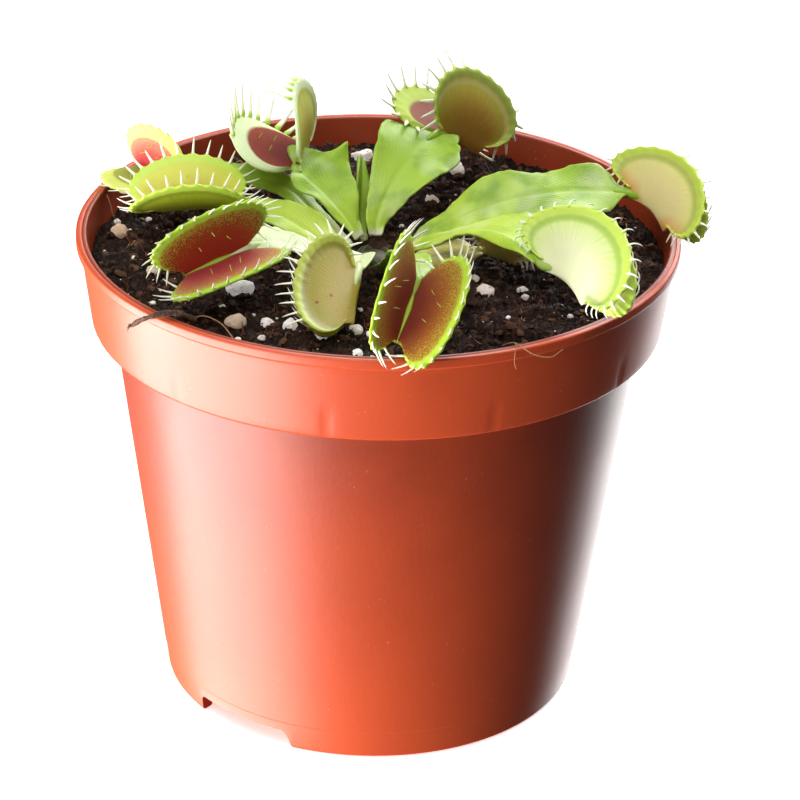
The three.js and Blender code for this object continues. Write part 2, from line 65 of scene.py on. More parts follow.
camera_data = bpy.data.cameras.new("camera")
camera_data.lens = LENS
camera_data.sensor_width = 36
camera_data.clip_start = 0.02
camera_data.clip_end = 20
camera = bpy.data.objects.new("camera", camera_data)
turn = (
    Matrix.Rotation(-LOOK_RIGHT, 3, "Z")
    @ Matrix.Rotation(math.pi / 2 - LOOK_DOWN, 3, "X")
    @ Matrix.Rotation(SLOPE, 3, "Z")
)
camera.location = CAMERA_PLACE
camera.rotation_euler = turn.to_euler()
scene = bpy.context.scene
scene.collection.objects.link(camera)
scene.camera = camera
print("camera looks along", [round(x, 3) for x in -turn.col[2]])

# %% [markdown]
# ## Light
#
# The pot stood on a bright table. Most of the light on its wall comes from there, from below and from the
# left, which gives the broad pale band on its left half, and a little from behind at its right edge. The
# plant is lit from above and from behind, so its thin leaves glow. Area lights are used for all of them,
# because their size decides how soft the edge of a reflection in the plastic is. Two of them hang below the
# height of the floor in place of the bright table, so the floor lets their light through. A dim white world
# fills the rest.

# %% Hang the lights
AIM = Vector((0, 0, 0.045))


def soft_light(name, azimuth, elevation, distance, width, height, power, tint=(1, 1, 1)):
    """A rectangular light that looks at the pot. Azimuth 0 is in front of it and 90 at its right."""
    light = bpy.data.lights.new(name, "AREA")
    light.shape = "RECTANGLE"
    light.size, light.size_y = width, height
    light.energy = power
    light.color = tint
    lamp = bpy.data.objects.new(name, light)
    around, up = math.radians(azimuth), math.radians(elevation)
    way = Vector((math.sin(around) * math.cos(up), -math.cos(around) * math.cos(up), math.sin(up)))
    lamp.location = AIM + way * distance
    lamp.rotation_euler = way.to_track_quat("Z", "Y").to_euler()
    scene.collection.objects.link(lamp)
    print(f"{name}: {power} W from azimuth {azimuth}")


soft_light("table_left", -72, -26, 0.9, 1.3, 0.75, 40)
soft_light("table_behind", 153, -26, 0.9, 0.42, 0.6, 3)
soft_light("window_behind", 150, 38, 0.9, 0.9, 0.7, 12)
soft_light("ceiling", -40, 62, 1.0, 1.0, 0.8, 10)

world = bpy.data.worlds.new("studio")
world.use_nodes = True
world.node_tree.nodes["Background"].inputs["Color"].default_value = (1, 1, 1, 1)
world.node_tree.nodes["Background"].inputs["Strength"].default_value = 0.08
scene.world = world
scene.view_settings.view_transform = "Standard"

# %% [markdown]
# ## A small kit for materials
#
# Every finish here is a formula on a few patterns. Written as nodes by hand such a formula is hard to read,
# so one small class wraps a socket and lets Python's own operators add the Math nodes. A second class holds
# the material and makes every other kind of node in one way: its settings first, then what its sockets
# hold.

# %% Signals that work like numbers
class Signal:
    """A value that changes over a surface. Adding or multiplying it adds a Math node."""

    def __init__(self, finish, socket):
        self.finish, self.socket = finish, socket

    def maths(self, operation, *values):
        return self.finish.node("Math", {"operation": operation}, dict(enumerate(values)))

    def __add__(self, other):
        return self.maths("ADD", self, other)

    def __sub__(self, other):
        return self.maths("SUBTRACT", self, other)

    def __rsub__(self, other):
        return self.maths("SUBTRACT", other, self)

    def __mul__(self, other):
        return self.maths("MULTIPLY", self, other)

    def __abs__(self):
        return self.maths("ABSOLUTE", self)

    __radd__ = __add__
    __rmul__ = __mul__


# %% Finishes made of nodes
def paint(red, green, blue):
    """A colour as seen on a screen, from 0 to 255, turned into the linear values that a shader needs."""
    linear = [
        c / 255 / 12.92 if c < 10.32 else ((c / 255 + 0.055) / 1.055) ** 2.4 for c in (red, green, blue)
    ]
    return (*linear, 1)


class Finish:
    """A material in the making. Its patterns are measured in millimetres of the object."""

    def __init__(self, name):
        self.material = bpy.data.materials.new(name)
        self.material.use_nodes = True
        self.tree = self.material.node_tree
        self.tree.nodes.clear()
        object_place = self.node("TexCoord", output="Object")
        self.place = self.node("VectorMath", {"operation": "SCALE"}, {"Vector": object_place, "Scale": 1000})

    def node(self, kind, settings=None, inputs=None, output=0):
        made = self.tree.nodes.new("ShaderNode" + kind)
        for name, value in (settings or {}).items():
            if name == "stops":
                for _ in value[2:]:
                    made.color_ramp.elements.new(0.5)
                for element, (position, colour) in zip(made.color_ramp.elements, value):
                    element.position, element.color = position, colour
            else:
                setattr(made, name, value)
        for name, value in (inputs or {}).items():
            if isinstance(value, Signal):
                self.tree.links.new(value.socket, made.inputs[name])
            else:
                made.inputs[name].default_value = value
        return Signal(self, made.outputs[output]) if made.outputs else None

    def attribute(self, name):
        return self.node("Attribute", {"attribute_name": name}, output="Fac")

    def grain(self, scale, detail=2.0, rough=0.5, place=None):
        inputs = {"Vector": place or self.place, "Scale": scale, "Detail": detail, "Roughness": rough}
        return self.node("TexNoise", {}, inputs)

    def cells(self, scale):
        return self.node("TexVoronoi", {}, {"Vector": self.place, "Scale": scale}, output="Distance")

    def ease(self, value, low, high):
        """0 where value is low, 1 where it is high, and a soft passage between. Low may be above high."""
        inputs = {"Value": value, "From Min": low, "From Max": high}
        return self.node("MapRange", {"interpolation_type": "SMOOTHSTEP"}, inputs)

    def mix(self, factor, one, other):
        """A colour that goes from one to the other as factor goes from 0 to 1."""
        return self.node("Mix", {"data_type": "RGBA"}, {0: factor, 6: one, 7: other}, output=2)

    def bump(self, height, distance, strength=1.0):
        """height is a signal from 0 to 1, and distance how high 1 stands, in millimetres."""
        inputs = {"Height": height, "Distance": distance / 1000, "Strength": strength}
        return self.node("Bump", {}, inputs)

    def surface(self, **inputs):
        """Ends the material in a Principled shader. Names use _ for the spaces in the sockets' names."""
        shader = self.node("BsdfPrincipled", {}, {k.replace("_", " "): v for k, v in inputs.items()})
        self.node("OutputMaterial", {}, {"Surface": shader})
        return self.material


# %% [markdown]
# ## A kit for pieces
#
# Most pieces of a plant are sheets or rods that curve in space. Both can be made from one flat grid: its
# points are moved to where a rule puts them, its two long edges meet and are merged, and the result is a
# closed skin. Each point also keeps a few numbers, such as how far it lies from the midrib, which the
# materials read.

# %% Rolled grids and finished pieces
MM = 0.001
NUMBERS = ("reach", "along", "inner", "lobe", "tone")


def new_form():
    """An empty bmesh with a layer for each number that the materials read."""
    bm = bmesh.new()
    layers = {name: bm.verts.layers.float.new(name) for name in NUMBERS}
    return bm, layers


def rolled_grid(bm, layers, rows, columns, rule):
    """A grid of rows by columns points. rule(row, column) gives a point in millimetres and its numbers."""
    made = bmesh.ops.create_grid(bm, x_segments=rows - 1, y_segments=columns - 1, size=0.5)["verts"]
    for vert in made:
        row = round((vert.co.x + 0.5) * (rows - 1))
        column = round((vert.co.y + 0.5) * (columns - 1))
        place, numbers = rule(row, column)
        vert.co = Vector(place) * MM
        for name, value in numbers.items():
            vert[layers[name]] = value
    return made


def rod(bm, layers, centres, radii, sides=8, flat=1.0, across=None, numbers=None):
    """A closed rod round a list of centres. It starts and ends in a point, and flat squeezes it."""
    ways = [
        (centres[min(k + 1, len(centres) - 1)] - centres[max(k - 1, 0)]).normalized()
        for k in range(len(centres))
    ]
    spoke = Vector(across) if across else ways[0].orthogonal()
    spokes = []
    for way in ways:
        spoke = (spoke - way * spoke.dot(way)).normalized()
        spokes.append(spoke)
    count = len(centres)

    def rule(row, column):
        angle = 2 * math.pi * column / sides
        one, two = spokes[row], ways[row].cross(spokes[row])
        ring = (one * math.cos(angle) + two * (math.sin(angle) * flat)) * radii[row]
        return centres[row] + ring, {"reach": row / (count - 1), **(numbers or {})}

    return rolled_grid(bm, layers, count, sides + 1, rule)


def finish_piece(name, bm, node, finishes, welded=0.004, sharp=None):
    """Welds a form, turns its faces outwards and makes it a piece of the part."""
    bmesh.ops.remove_doubles(bm, verts=bm.verts, dist=welded * MM)
    bmesh.ops.recalc_face_normals(bm, faces=bm.faces)
    mesh = bpy.data.meshes.new(name)
    bm.to_mesh(mesh)
    bm.free()
    for face in mesh.polygons:
        face.use_smooth = True
    if sharp:
        mesh.set_sharp_from_angle(angle=math.radians(sharp))
    for finish in finishes:
        mesh.materials.append(finish)
    piece = bpy.data.objects.new(name, mesh)
    scene.collection.objects.link(piece)
    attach(piece, "root")
    if node:
        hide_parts(node)
    triangles = sum(len(face.vertices) - 2 for face in mesh.polygons)
    print(f"{name}: {triangles} triangles")
    return piece


# %% [markdown]
# ## The floor
#
# A plain pale sheet that the pot stands on. It isn't part of the object, so it isn't attached to its body.

# %% Lay the floor
floor_finish = Finish("pale_floor")
floor_tone = floor_finish.mix(floor_finish.grain(0.02), paint(250, 250, 250), paint(244, 244, 245))
pale_floor = floor_finish.surface(
    Base_Color=floor_tone,
    Roughness=0.7,
    Specular_IOR_Level=0.2,
    Emission_Color=floor_tone,
    Emission_Strength=0.6,
)
FLOOR_REACH = 4  # metres
bm = bmesh.new()
bmesh.ops.create_circle(bm, cap_ends=True, segments=64, radius=FLOOR_REACH)
floor_mesh = bpy.data.meshes.new("floor")
bm.to_mesh(floor_mesh)
bm.free()
floor_mesh.materials.append(pale_floor)
floor = bpy.data.objects.new("floor", floor_mesh)
floor.visible_diffuse = floor.visible_glossy = floor.visible_shadow = False
scene.collection.objects.link(floor)

# %% [markdown]
# ## The pot's plastic
#
# Nursery pots are moulded from soft terracotta-coloured plastic. It is smooth but not polished, with faint
# flow marks, a little dust, and a slightly pebbled skin. Inside, above the step, it is painted darker. The
# colour hardly changes outside, so most of the work is in the roughness and in a very low bump.

# %% Mix the plastic
plastic = Finish("terracotta_plastic")
cloud = plastic.grain(0.06, 3)
pebbles = plastic.grain(1.6, 3, 0.6)
dust = plastic.ease(plastic.grain(2.6, 2), 0.7, 0.76) * plastic.ease(plastic.grain(0.16), 0.46, 0.6)
# Inside the pot, above the step, the plastic is painted darker.
darker_inside = plastic.attribute("inner") * (0.5 + cloud * 0.4)
plastic_tone = plastic.mix(cloud, paint(201, 80, 42), paint(190, 71, 36))
plastic_tone = plastic.mix(darker_inside, plastic_tone, paint(112, 40, 22))
plastic_tone = plastic.mix(dust * 0.5, plastic_tone, paint(222, 178, 140))
terracotta_plastic = plastic.surface(
    Base_Color=plastic_tone,
    Roughness=0.34 + cloud * 0.08 + dust * 0.3,
    Normal=plastic.bump(pebbles * 0.7 + plastic.grain(0.35) * 0.6, 0.05, 0.5),
    Specular_IOR_Level=0.44,
    Subsurface_Weight=0.06,
    Subsurface_Radius=(1.0, 0.35, 0.15),
    Subsurface_Scale=0.0015,
)

# %% [markdown]
# ## The pot
#
# One outline, from the middle of the underside up to the rim and back down inside to the floor, goes once
# round the axis. Each corner of the outline gets its own small radius first, because moulded plastic has no
# sharp corner and those radii catch the light. A lathe outline is used and not a cone with bevels, since
# the collar, the bead on the rim and the raised underside are all parts of the same turned shape.

# %% Round the corners of the pot's outline
POT_OUTLINE = [  # radius, height and corner radius, in millimetres
    (16, 0, 0.5), (18, 2.6, 0.7), (29.5, 2.6, 0.6), (29.5, 0, 0.3), (31.5, 0, 0.7),
    (32.09, 4.5, 0.1), (32.2, 4.65, 0.1), (39.62, 59.1, 0.45), (42.75, 59.1, 0.6),
    (44.35, 71.0, 0.2), (45, 71.4, 0.35), (45, 72.8, 0.6), (44.3, 72.8, 0.15), (44.15, 72.68, 0.1),
    (43.95, 72.8, 0.15), (43.4, 72.8, 0.45), (43.0, 70.4, 0.5), (41.4, 60.5, 1.2), (38.2, 57.7, 1.2),
    (30.4, 4.1, 1.5), (17.2, 4.1, 0.8), (15.2, 1.5, 0.8),
]
ARC_STEPS = 4
POT_STEPS = 360


def rounded_outline(corners, start, end):
    """The outline with each corner replaced by an arc of its own radius."""
    points = [Vector(start)]
    flat = [Vector(corner[:2]) for corner in corners]
    for k, (_, _, radius) in enumerate(corners):
        before = flat[k - 1] if k else Vector(start)
        after = flat[k + 1] if k + 1 < len(flat) else Vector(end)
        back, ahead = (before - flat[k]).normalized(), (after - flat[k]).normalized()
        half = back.angle(ahead) / 2
        room = 0.45 * min((before - flat[k]).length, (after - flat[k]).length)
        reach = min(radius / math.tan(half), room)
        middle = flat[k] + (back + ahead).normalized() * (reach / math.cos(half))
        first, last = flat[k] + back * reach, flat[k] + ahead * reach
        for step in range(ARC_STEPS + 1):
            share = step / ARC_STEPS
            spoke = (first - middle).lerp(last - middle, share).normalized()
            points.append(middle + spoke * (first - middle).length)
    return points + [Vector(end)]


pot_points = rounded_outline(POT_OUTLINE, (0, 0), (0, 1.5))
print("points on the pot's outline:", len(pot_points))

# %% [markdown]
# The collar shows faint upright marks where ribs inside stiffen it. They are small dents, so the points of
# the collar near each mark are pushed in by up to 0.14 mm. The drain notches in the foot and the holes in
# the floor are cut out with one Boolean, whose cutters are removed afterwards.

# %% Turn, dent and cut the pot
RIB_MARKS = (-9, 23, 55, 87, 119, 151, -41, -73, -105, -137, -169)
NOTCH_AZIMUTHS = (-38, 142)
DRAIN_COUNT = 6
DRAIN_CIRCLE = 23.4  # radius of the circle that the drain holes lie on
DRAIN_RADIUS = 3
COLLAR_BANDS = 9


def notch_cutter(bm, azimuth):
    """A block through the foot, with one upright and one slanting side, as the notch has."""
    made = bmesh.ops.create_cube(bm, size=1)["verts"]
    for vert in made:
        slant = 1.9 if vert.co.x > 0 and vert.co.z < 0 else 0.0
        vert.co = Vector((vert.co.x * 16.5 + slant, -31.3 + vert.co.y * 12, vert.co.z * 5.9))
    upper = [e for v in made for e in v.link_edges if all(w.co.z > 0 for w in e.verts)]
    lengthwise = [e for e in set(upper) if abs(e.verts[0].co.x - e.verts[1].co.x) < 0.1]
    rounded = bmesh.ops.bevel(
        bm, geom=lengthwise, offset=1.0, offset_type="OFFSET", affect="EDGES",
        segments=4, profile=0.5, material=-1,
    )["verts"]
    block = {v for v in made if v.is_valid} | set(rounded)
    round_the_foot = Matrix.Rotation(math.radians(azimuth), 3, "Z")
    bmesh.ops.rotate(bm, verts=list(block), cent=(0, 0, 0), matrix=round_the_foot)


def cutters():
    """The notches and drain holes as one mesh."""
    bm = bmesh.new()
    for azimuth in NOTCH_AZIMUTHS:
        notch_cutter(bm, azimuth)
    for k in range(DRAIN_COUNT):
        angle = 2 * math.pi * (k + 0.5) / DRAIN_COUNT
        place = Matrix.Translation((DRAIN_CIRCLE * math.sin(angle), DRAIN_CIRCLE * math.cos(angle), 3.5))
        bmesh.ops.create_cone(
            bm, cap_ends=True, segments=32, radius1=DRAIN_RADIUS, radius2=DRAIN_RADIUS, depth=8, matrix=place
        )
    bmesh.ops.scale(bm, vec=(MM, MM, MM), verts=bm.verts)
    bmesh.ops.recalc_face_normals(bm, faces=bm.faces)
    mesh = bpy.data.meshes.new("cutters")
    bm.to_mesh(mesh)
    bm.free()
    cutter = bpy.data.objects.new("cutters", mesh)
    scene.collection.objects.link(cutter)
    return cutter


def dent(vert):
    """How far a rib mark pushes this point of the collar in."""
    height = vert.co.z / MM
    if not 59.3 < height < 64.5 or vert.co.xy.length / MM < 42.3:
        return 0.0
    azimuth = math.degrees(math.atan2(vert.co.x, -vert.co.y))
    near = min(abs((azimuth - mark + 180) % 360 - 180) for mark in RIB_MARKS)
    return 0.14 * math.exp(-((near / 0.75) ** 2)) * min(1, (64.5 - height) / 1.5)


bm = bmesh.new()
outline = [bm.verts.new((point.x * MM, 0, point.y * MM)) for point in pot_points]
# The collar is cut into bands, so that the marks have points to move.
edges = [bm.edges.new(pair) for pair in zip(outline, outline[1:])]
collar = [
    edge for edge in edges
    if abs(edge.verts[0].co.z - edge.verts[1].co.z) > 8 * MM and min(v.co.x for v in edge.verts) > 42 * MM
]
bmesh.ops.subdivide_edges(bm, edges=collar, cuts=COLLAR_BANDS)
bmesh.ops.spin(
    bm, geom=bm.verts[:] + bm.edges[:], cent=(0, 0, 0), axis=(0, 0, 1), dvec=(0, 0, 0),
    angle=2 * math.pi, steps=POT_STEPS, use_merge=True, use_normal_flip=False, use_duplicate=False,
)
bmesh.ops.remove_doubles(bm, verts=bm.verts, dist=0.002 * MM)
for vert in bm.verts:
    push = dent(vert)
    if push:
        vert.co.xy *= 1 - push * MM / vert.co.xy.length
bmesh.ops.recalc_face_normals(bm, faces=bm.faces)
turned = bpy.data.meshes.new("turned")
bm.to_mesh(turned)
bm.free()
blank = bpy.data.objects.new("blank", turned)
scene.collection.objects.link(blank)
cutter = cutters()
cut = blank.modifiers.new("cut", "BOOLEAN")
cut.object = cutter
cut.solver = "MANIFOLD"
ready = bpy.data.meshes.new_from_object(blank.evaluated_get(bpy.context.evaluated_depsgraph_get()))
bm = bmesh.new()
bm.from_mesh(ready)
inside = bm.verts.layers.float.new("inner")
# Above the step, points nearer the axis than the middle of the collar's wall are inside the pot.
for vert in bm.verts:
    height = vert.co.z / MM
    wall_middle = 42.1 + (height - 60.5) * 0.163
    vert[inside] = 1.0 if height > 58.5 and vert.co.xy.length / MM < wall_middle else 0.0
bpy.data.objects.remove(blank)
bpy.data.objects.remove(cutter)
finish_piece("nursery_pot", bm, "pot", [terracotta_plastic], sharp=38)

# %% [markdown]
# ## Peat
#
# The soil is dark peat, with shreds of root and moss: painted almost black where it lies low between the
# crumbs and brown where it lies higher. Its material changes by crumb, through a number that each crumb
# carries, and by a fine noise.

# %% Mix the peat
def peat(name, dark, light, wet):
    """A soil finish. wet is how smooth its wettest spots are."""
    finish = Finish(name)
    tone = finish.attribute("tone")
    fine = finish.grain(1.4, 5, 0.65)
    rough = finish.grain(0.25, 3)
    base = finish.mix(finish.ease(fine + tone * 0.6, 0.35, 1.05), dark, light)
    return finish.surface(
        Base_Color=base,
        Roughness=wet + finish.ease(rough, 0.35, 0.6) * (0.95 - wet),
        Normal=finish.bump(fine, 0.7),
        Specular_IOR_Level=0.28,
    )


peat_finish = peat("peat", paint(13, 8, 6), paint(78, 44, 28), 0.5)
crumb_finish = peat("peat_crumbs", paint(13, 9, 7), paint(98, 66, 46), 0.5)

# %% [markdown]
# ## The soil
#
# A square grid is pressed into a disc, which keeps its cells about even, and its points are raised by noise
# of several sizes. Then its edge is pulled down along the pot's inside and closed at the bottom, so the
# soil is a full body and not a lid.

# %% Raise the soil's surface
SOIL_LEVEL = 68.5
SOIL_EDGE = 42.55
SOIL_CELLS = 290
SOIL_SIDE = [(41.1, 60.3), (37.9, 57.8), (30.1, 4.4), (17, 4.4), (15, 1.8)]


def soil_height(x, y):
    """Height of the soil in millimetres: the low mound of the CAD solid with clods and crumbs on it."""
    reach = math.hypot(x, y) / 45
    coarse = math.sin(0.31 * x + 1.1) * math.cos(0.27 * y - 0.4)
    fine = math.sin(0.83 * x - 0.5 * y) * math.cos(0.71 * y + 0.37 * x + 2)
    calm = 0.35 if reach > 0.92 else 1.0
    mound = 0.8 * (1 - reach * reach) + calm * 0.75 * (0.7 * coarse + 0.5 * fine)
    place = Vector((x, y, 0))
    clods = noise.fractal(place * 0.33, 0.9, 2.1, 4) * 0.9
    crumbs = abs(noise.noise(place * 1.25 + Vector((7, 3, 5)))) * 1.3
    dust = noise.noise(place * 2.9) * 0.3
    return SOIL_LEVEL + mound + clods * 0.8 + crumbs + dust - 0.35


bm, layers = new_form()
bmesh.ops.create_grid(bm, x_segments=SOIL_CELLS, y_segments=SOIL_CELLS, size=1)
for vert in bm.verts:
    u, v = vert.co.x, vert.co.y
    x = SOIL_EDGE * u * math.sqrt(1 - v * v / 2)
    y = SOIL_EDGE * v * math.sqrt(1 - u * u / 2)
    height = soil_height(x, y)
    vert.co = Vector((x, y, height)) * MM
    # The higher a point of the soil lies, the lighter it is painted.
    vert[layers["tone"]] = 0.5 * min(1.0, max(0.0, (height - SOIL_LEVEL) / 1.8))
rim = [edge for edge in bm.edges if edge.is_boundary]
for radius, height in SOIL_SIDE:
    made = bmesh.ops.extrude_edge_only(bm, edges=rim)["geom"]
    for vert in (part for part in made if isinstance(part, bmesh.types.BMVert)):
        vert.co.xy *= radius * MM / vert.co.xy.length
        vert.co.z = height * MM
    rim = [part for part in made if isinstance(part, bmesh.types.BMEdge)]
bmesh.ops.holes_fill(bm, edges=[edge for edge in bm.edges if edge.is_boundary], sides=0)
finish_piece("peat_body", bm, "soil", [peat_finish])

# %% [markdown]
# Loose crumbs lie on the surface. Each is a small ball of twenty faces, squeezed and dented by noise, so a
# few thousand stay light. They are placed by a seeded random draw, and none stands where the crown comes
# out.

# %% Scatter crumbs
CRUMBS = 4400
CROWN_X, CROWN_Y = -0.6, -3.2
crumb_draw = random.Random(7)


def spot_on_soil(draw, edge):
    """A random place on the soil, within the given radius."""
    radius = edge * math.sqrt(draw.random())
    angle = draw.uniform(0, 2 * math.pi)
    return radius * math.cos(angle), radius * math.sin(angle)


def by_crown(x, y, room):
    """Whether a place is within room of the middle of the crown."""
    return math.hypot(x - CROWN_X, y - CROWN_Y) < room


def crumb(bm, layers, place, size, tone):
    """A dented lump of soil."""
    made = bmesh.ops.create_icosphere(bm, subdivisions=1, radius=1)["verts"]
    squeeze = Vector((1, crumb_draw.uniform(0.55, 1), crumb_draw.uniform(0.45, 0.8)))
    heading = Matrix.Rotation(crumb_draw.uniform(0, 6.28), 3, "Z")
    roll = heading @ Matrix.Rotation(crumb_draw.uniform(-0.6, 0.6), 3, "X")
    offset = Vector((crumb_draw.uniform(-50, 50), 0, 0))
    for vert in made:
        swell = 1 + 1.1 * noise.noise(vert.co * 1.9 + offset)
        vert.co = (roll @ (vert.co * squeeze) * swell * size / 2 + place) * MM
        vert[layers["tone"]] = tone


bm, layers = new_form()
for _ in range(CRUMBS):
    x, y = spot_on_soil(crumb_draw, 41.6)
    if by_crown(x, y, 4):
        continue
    size = 0.3 + 1.5 * crumb_draw.random() ** 3.2
    crumb(bm, layers, Vector((x, y, soil_height(x, y) + size * 0.12)), size, crumb_draw.random())
finish_piece("peat_crumbs", bm, None, [crumb_finish], sharp=50)

# %% [markdown]
# ## Perlite
#
# The pale grains are perlite, volcanic glass that is blown up like popcorn. A grain is angular but soft at
# its edges. A ball cut by a dozen random planes gives such a form: each point moves in to the nearest
# plane, and noise roughens the faces.

# %% Mix the perlite's chalky white and its painted glow
perlite = Finish("perlite")
pores = perlite.grain(2.2, 4, 0.7)
stain = perlite.ease(perlite.grain(0.55, 3), 0.48, 0.72)
perlite_tone = perlite.mix(perlite.attribute("tone"), paint(255, 252, 246), paint(206, 170, 138))
cracks = perlite.ease(perlite.grain(1.5, 4, 0.7), 0.42, 0.34)
perlite_tone = perlite.mix(stain * 0.4, perlite_tone, paint(120, 86, 64))
perlite_tone = perlite.mix(cracks * 0.7, perlite_tone, paint(48, 36, 28))
chalky_glowing_white = perlite.surface(
    Base_Color=perlite_tone,
    Roughness=0.85,
    Normal=perlite.bump(pores + perlite.ease(perlite.cells(1.5), 0.25, 0.0) * -0.8, 0.5),
    Subsurface_Weight=0.15,
    Subsurface_Scale=0.0008,
    # Emission makes the grains glow a little in their own colour: a painted light that keeps them white in
    # the leaves' shade.
    Emission_Color=perlite_tone,
    Emission_Strength=0.25,
)

# %% Set the grains in the soil
GRAINS = [  # x, y, width and stain
    (-38.9, 2.7, 2.9, 0.9), (-39.6, 9.7, 1.1, 0.3), (-37.4, 5.2, 1.0, 0.2), (-36.7, 3.0, 0.8, 0.5),
    (-34.9, 10.8, 1.0, 0.3), (-29, 12.7, 0.9, 0.5), (-32.6, -19.4, 1.1, 0.4), (-20.2, -15.7, 4.2, 0.0),
    (-20.1, -26.8, 3.5, 0.8), (-15.6, -25.9, 2.2, 0.1), (-12.4, -26.5, 2.6, 0.15), (-7.5, -30.5, 2.6, 0.1),
    (-3.1, -27, 2.2, 0.2), (-0.8, -29, 1.7, 0.1), (-19.7, -30.1, 1.0, 0.2), (-16.3, -30.3, 1.3, 0.4),
    (-2.6, -35.2, 2.0, 0.1), (-0.4, -35.6, 1.1, 0.1), (-22.4, -21.3, 1.0, 0.3), (-8, -36, 0.9, 0.3),
    (15.8, -13.8, 2.6, 0.45), (21.2, -11.8, 1.7, 0.1), (21.5, -16.3, 1.2, 0.3), (27.9, -20.3, 1.0, 0.2),
    (14.3, -10.1, 1.4, 0.5), (18.9, -23.2, 0.8, 0.2), (8.1, 19, 2.3, 0.6), (-2.9, 36, 3.6, 0.35),
    (27, 9, 2.4, 0.3), (-24, 27, 3, 0.2), (12, 31, 2.8, 0.3), (-33, -9, 2.2, 0.6), (30, 20, 2.2, 0.2),
]
PLANES = 13
grain_draw = random.Random(23)


def perlite_grain(bm, layers, place, width, tone):
    """A ball that is cut flat by random planes."""
    planes = []
    for _ in range(PLANES):
        way = Vector([grain_draw.gauss(0, 1) for _ in range(3)]).normalized()
        planes.append((way, grain_draw.uniform(0.62, 0.95)))
    offset = Vector((grain_draw.uniform(-30, 30), 0, 0))
    for vert in bmesh.ops.create_icosphere(bm, subdivisions=4, radius=1)["verts"]:
        way = vert.co.normalized()
        near = [height / max(way.dot(normal), 0.05) for normal, height in planes]
        radius = -math.log(sum(math.exp(-9 * value) for value in near) + math.exp(-9)) / 9
        radius *= 1 + 0.10 * noise.noise(way * 2.6 + offset) + 0.05 * noise.noise(way * 7 + offset)
        vert.co = (way * radius * width / 2 * Vector((1.1, 1.0, 0.85)) + place) * MM
        vert[layers["tone"]] = tone


bm, layers = new_form()
for x, y, width, stain_share in GRAINS:
    perlite_grain(bm, layers, Vector((x, y, soil_height(x, y) + width * 0.16)), width, stain_share)
finish_piece("perlite_grains", bm, None, [chalky_glowing_white])

# %% Sprinkle the broken bits of perlite
BITS = 260
bm, layers = new_form()
for _ in range(BITS):
    x, y = spot_on_soil(crumb_draw, 41.5)
    size = 0.22 + 0.55 * crumb_draw.random() ** 3
    crumb(bm, layers, Vector((x, y, soil_height(x, y) + size * 0.3)), size, 0.3 * crumb_draw.random())
finish_piece("perlite_bits", bm, None, [chalky_glowing_white], sharp=50)

# %% [markdown]
# ## Shreds in the soil
#
# Peat is full of short root and moss shreds. A shred is a thin rod along a bent line that hugs the surface.
# Some lie flat and some stand up a little. One number per shred picks its colour, from dark brown to straw.

# %% Mix the shreds and lay them
shreds = Finish("root_shreds")
shred_tone = shreds.node(
    "ValToRGB",
    {"stops": [
        (0.0, paint(38, 24, 17)), (0.4, paint(98, 54, 32)), (0.75, paint(166, 94, 50)),
        (1.0, paint(196, 152, 108)),
    ]},
    {"Fac": shreds.attribute("tone")},
)
root_shreds = shreds.surface(
    Base_Color=shreds.mix(shreds.grain(3, 2) * 0.5, shred_tone, paint(40, 26, 20)),
    Roughness=0.75,
    Normal=shreds.bump(shreds.grain(5, 2), 0.05),
)
SHREDS = 1000
shred_draw = random.Random(31)


def shred(bm, layers, x, y, length, thick, tone, rise=0.0):
    """A thin bent root that follows the soil, or stands up by rise at its far end."""
    heading = shred_draw.uniform(0, 2 * math.pi)
    centres = []
    steps = 7
    for k in range(steps):
        centres.append(Vector((x, y, soil_height(x, y) + thick * 0.6 + rise * (k / (steps - 1)) ** 1.5)))
        heading += shred_draw.uniform(-0.5, 0.5)
        x += math.cos(heading) * length / steps
        y += math.sin(heading) * length / steps
        if math.hypot(x, y) > 42:
            break
    if len(centres) < 4:
        return
    radii = [0.0] + [thick / 2 * shred_draw.uniform(0.8, 1.1) for _ in centres[2:]] + [0.0]
    rod(bm, layers, centres, radii, sides=4, numbers={"tone": tone})


bm, layers = new_form()
for _ in range(SHREDS):
    x, y = spot_on_soil(shred_draw, 41)
    if by_crown(x, y, 4.5):
        continue
    length = 1.2 + 5 * shred_draw.random() ** 2
    rise = 1.6 * shred_draw.random() ** 4
    shred(bm, layers, x, y, length, shred_draw.uniform(0.07, 0.2), shred_draw.random() ** 1.5, rise)
finish_piece("root_shreds", bm, None, [root_shreds])
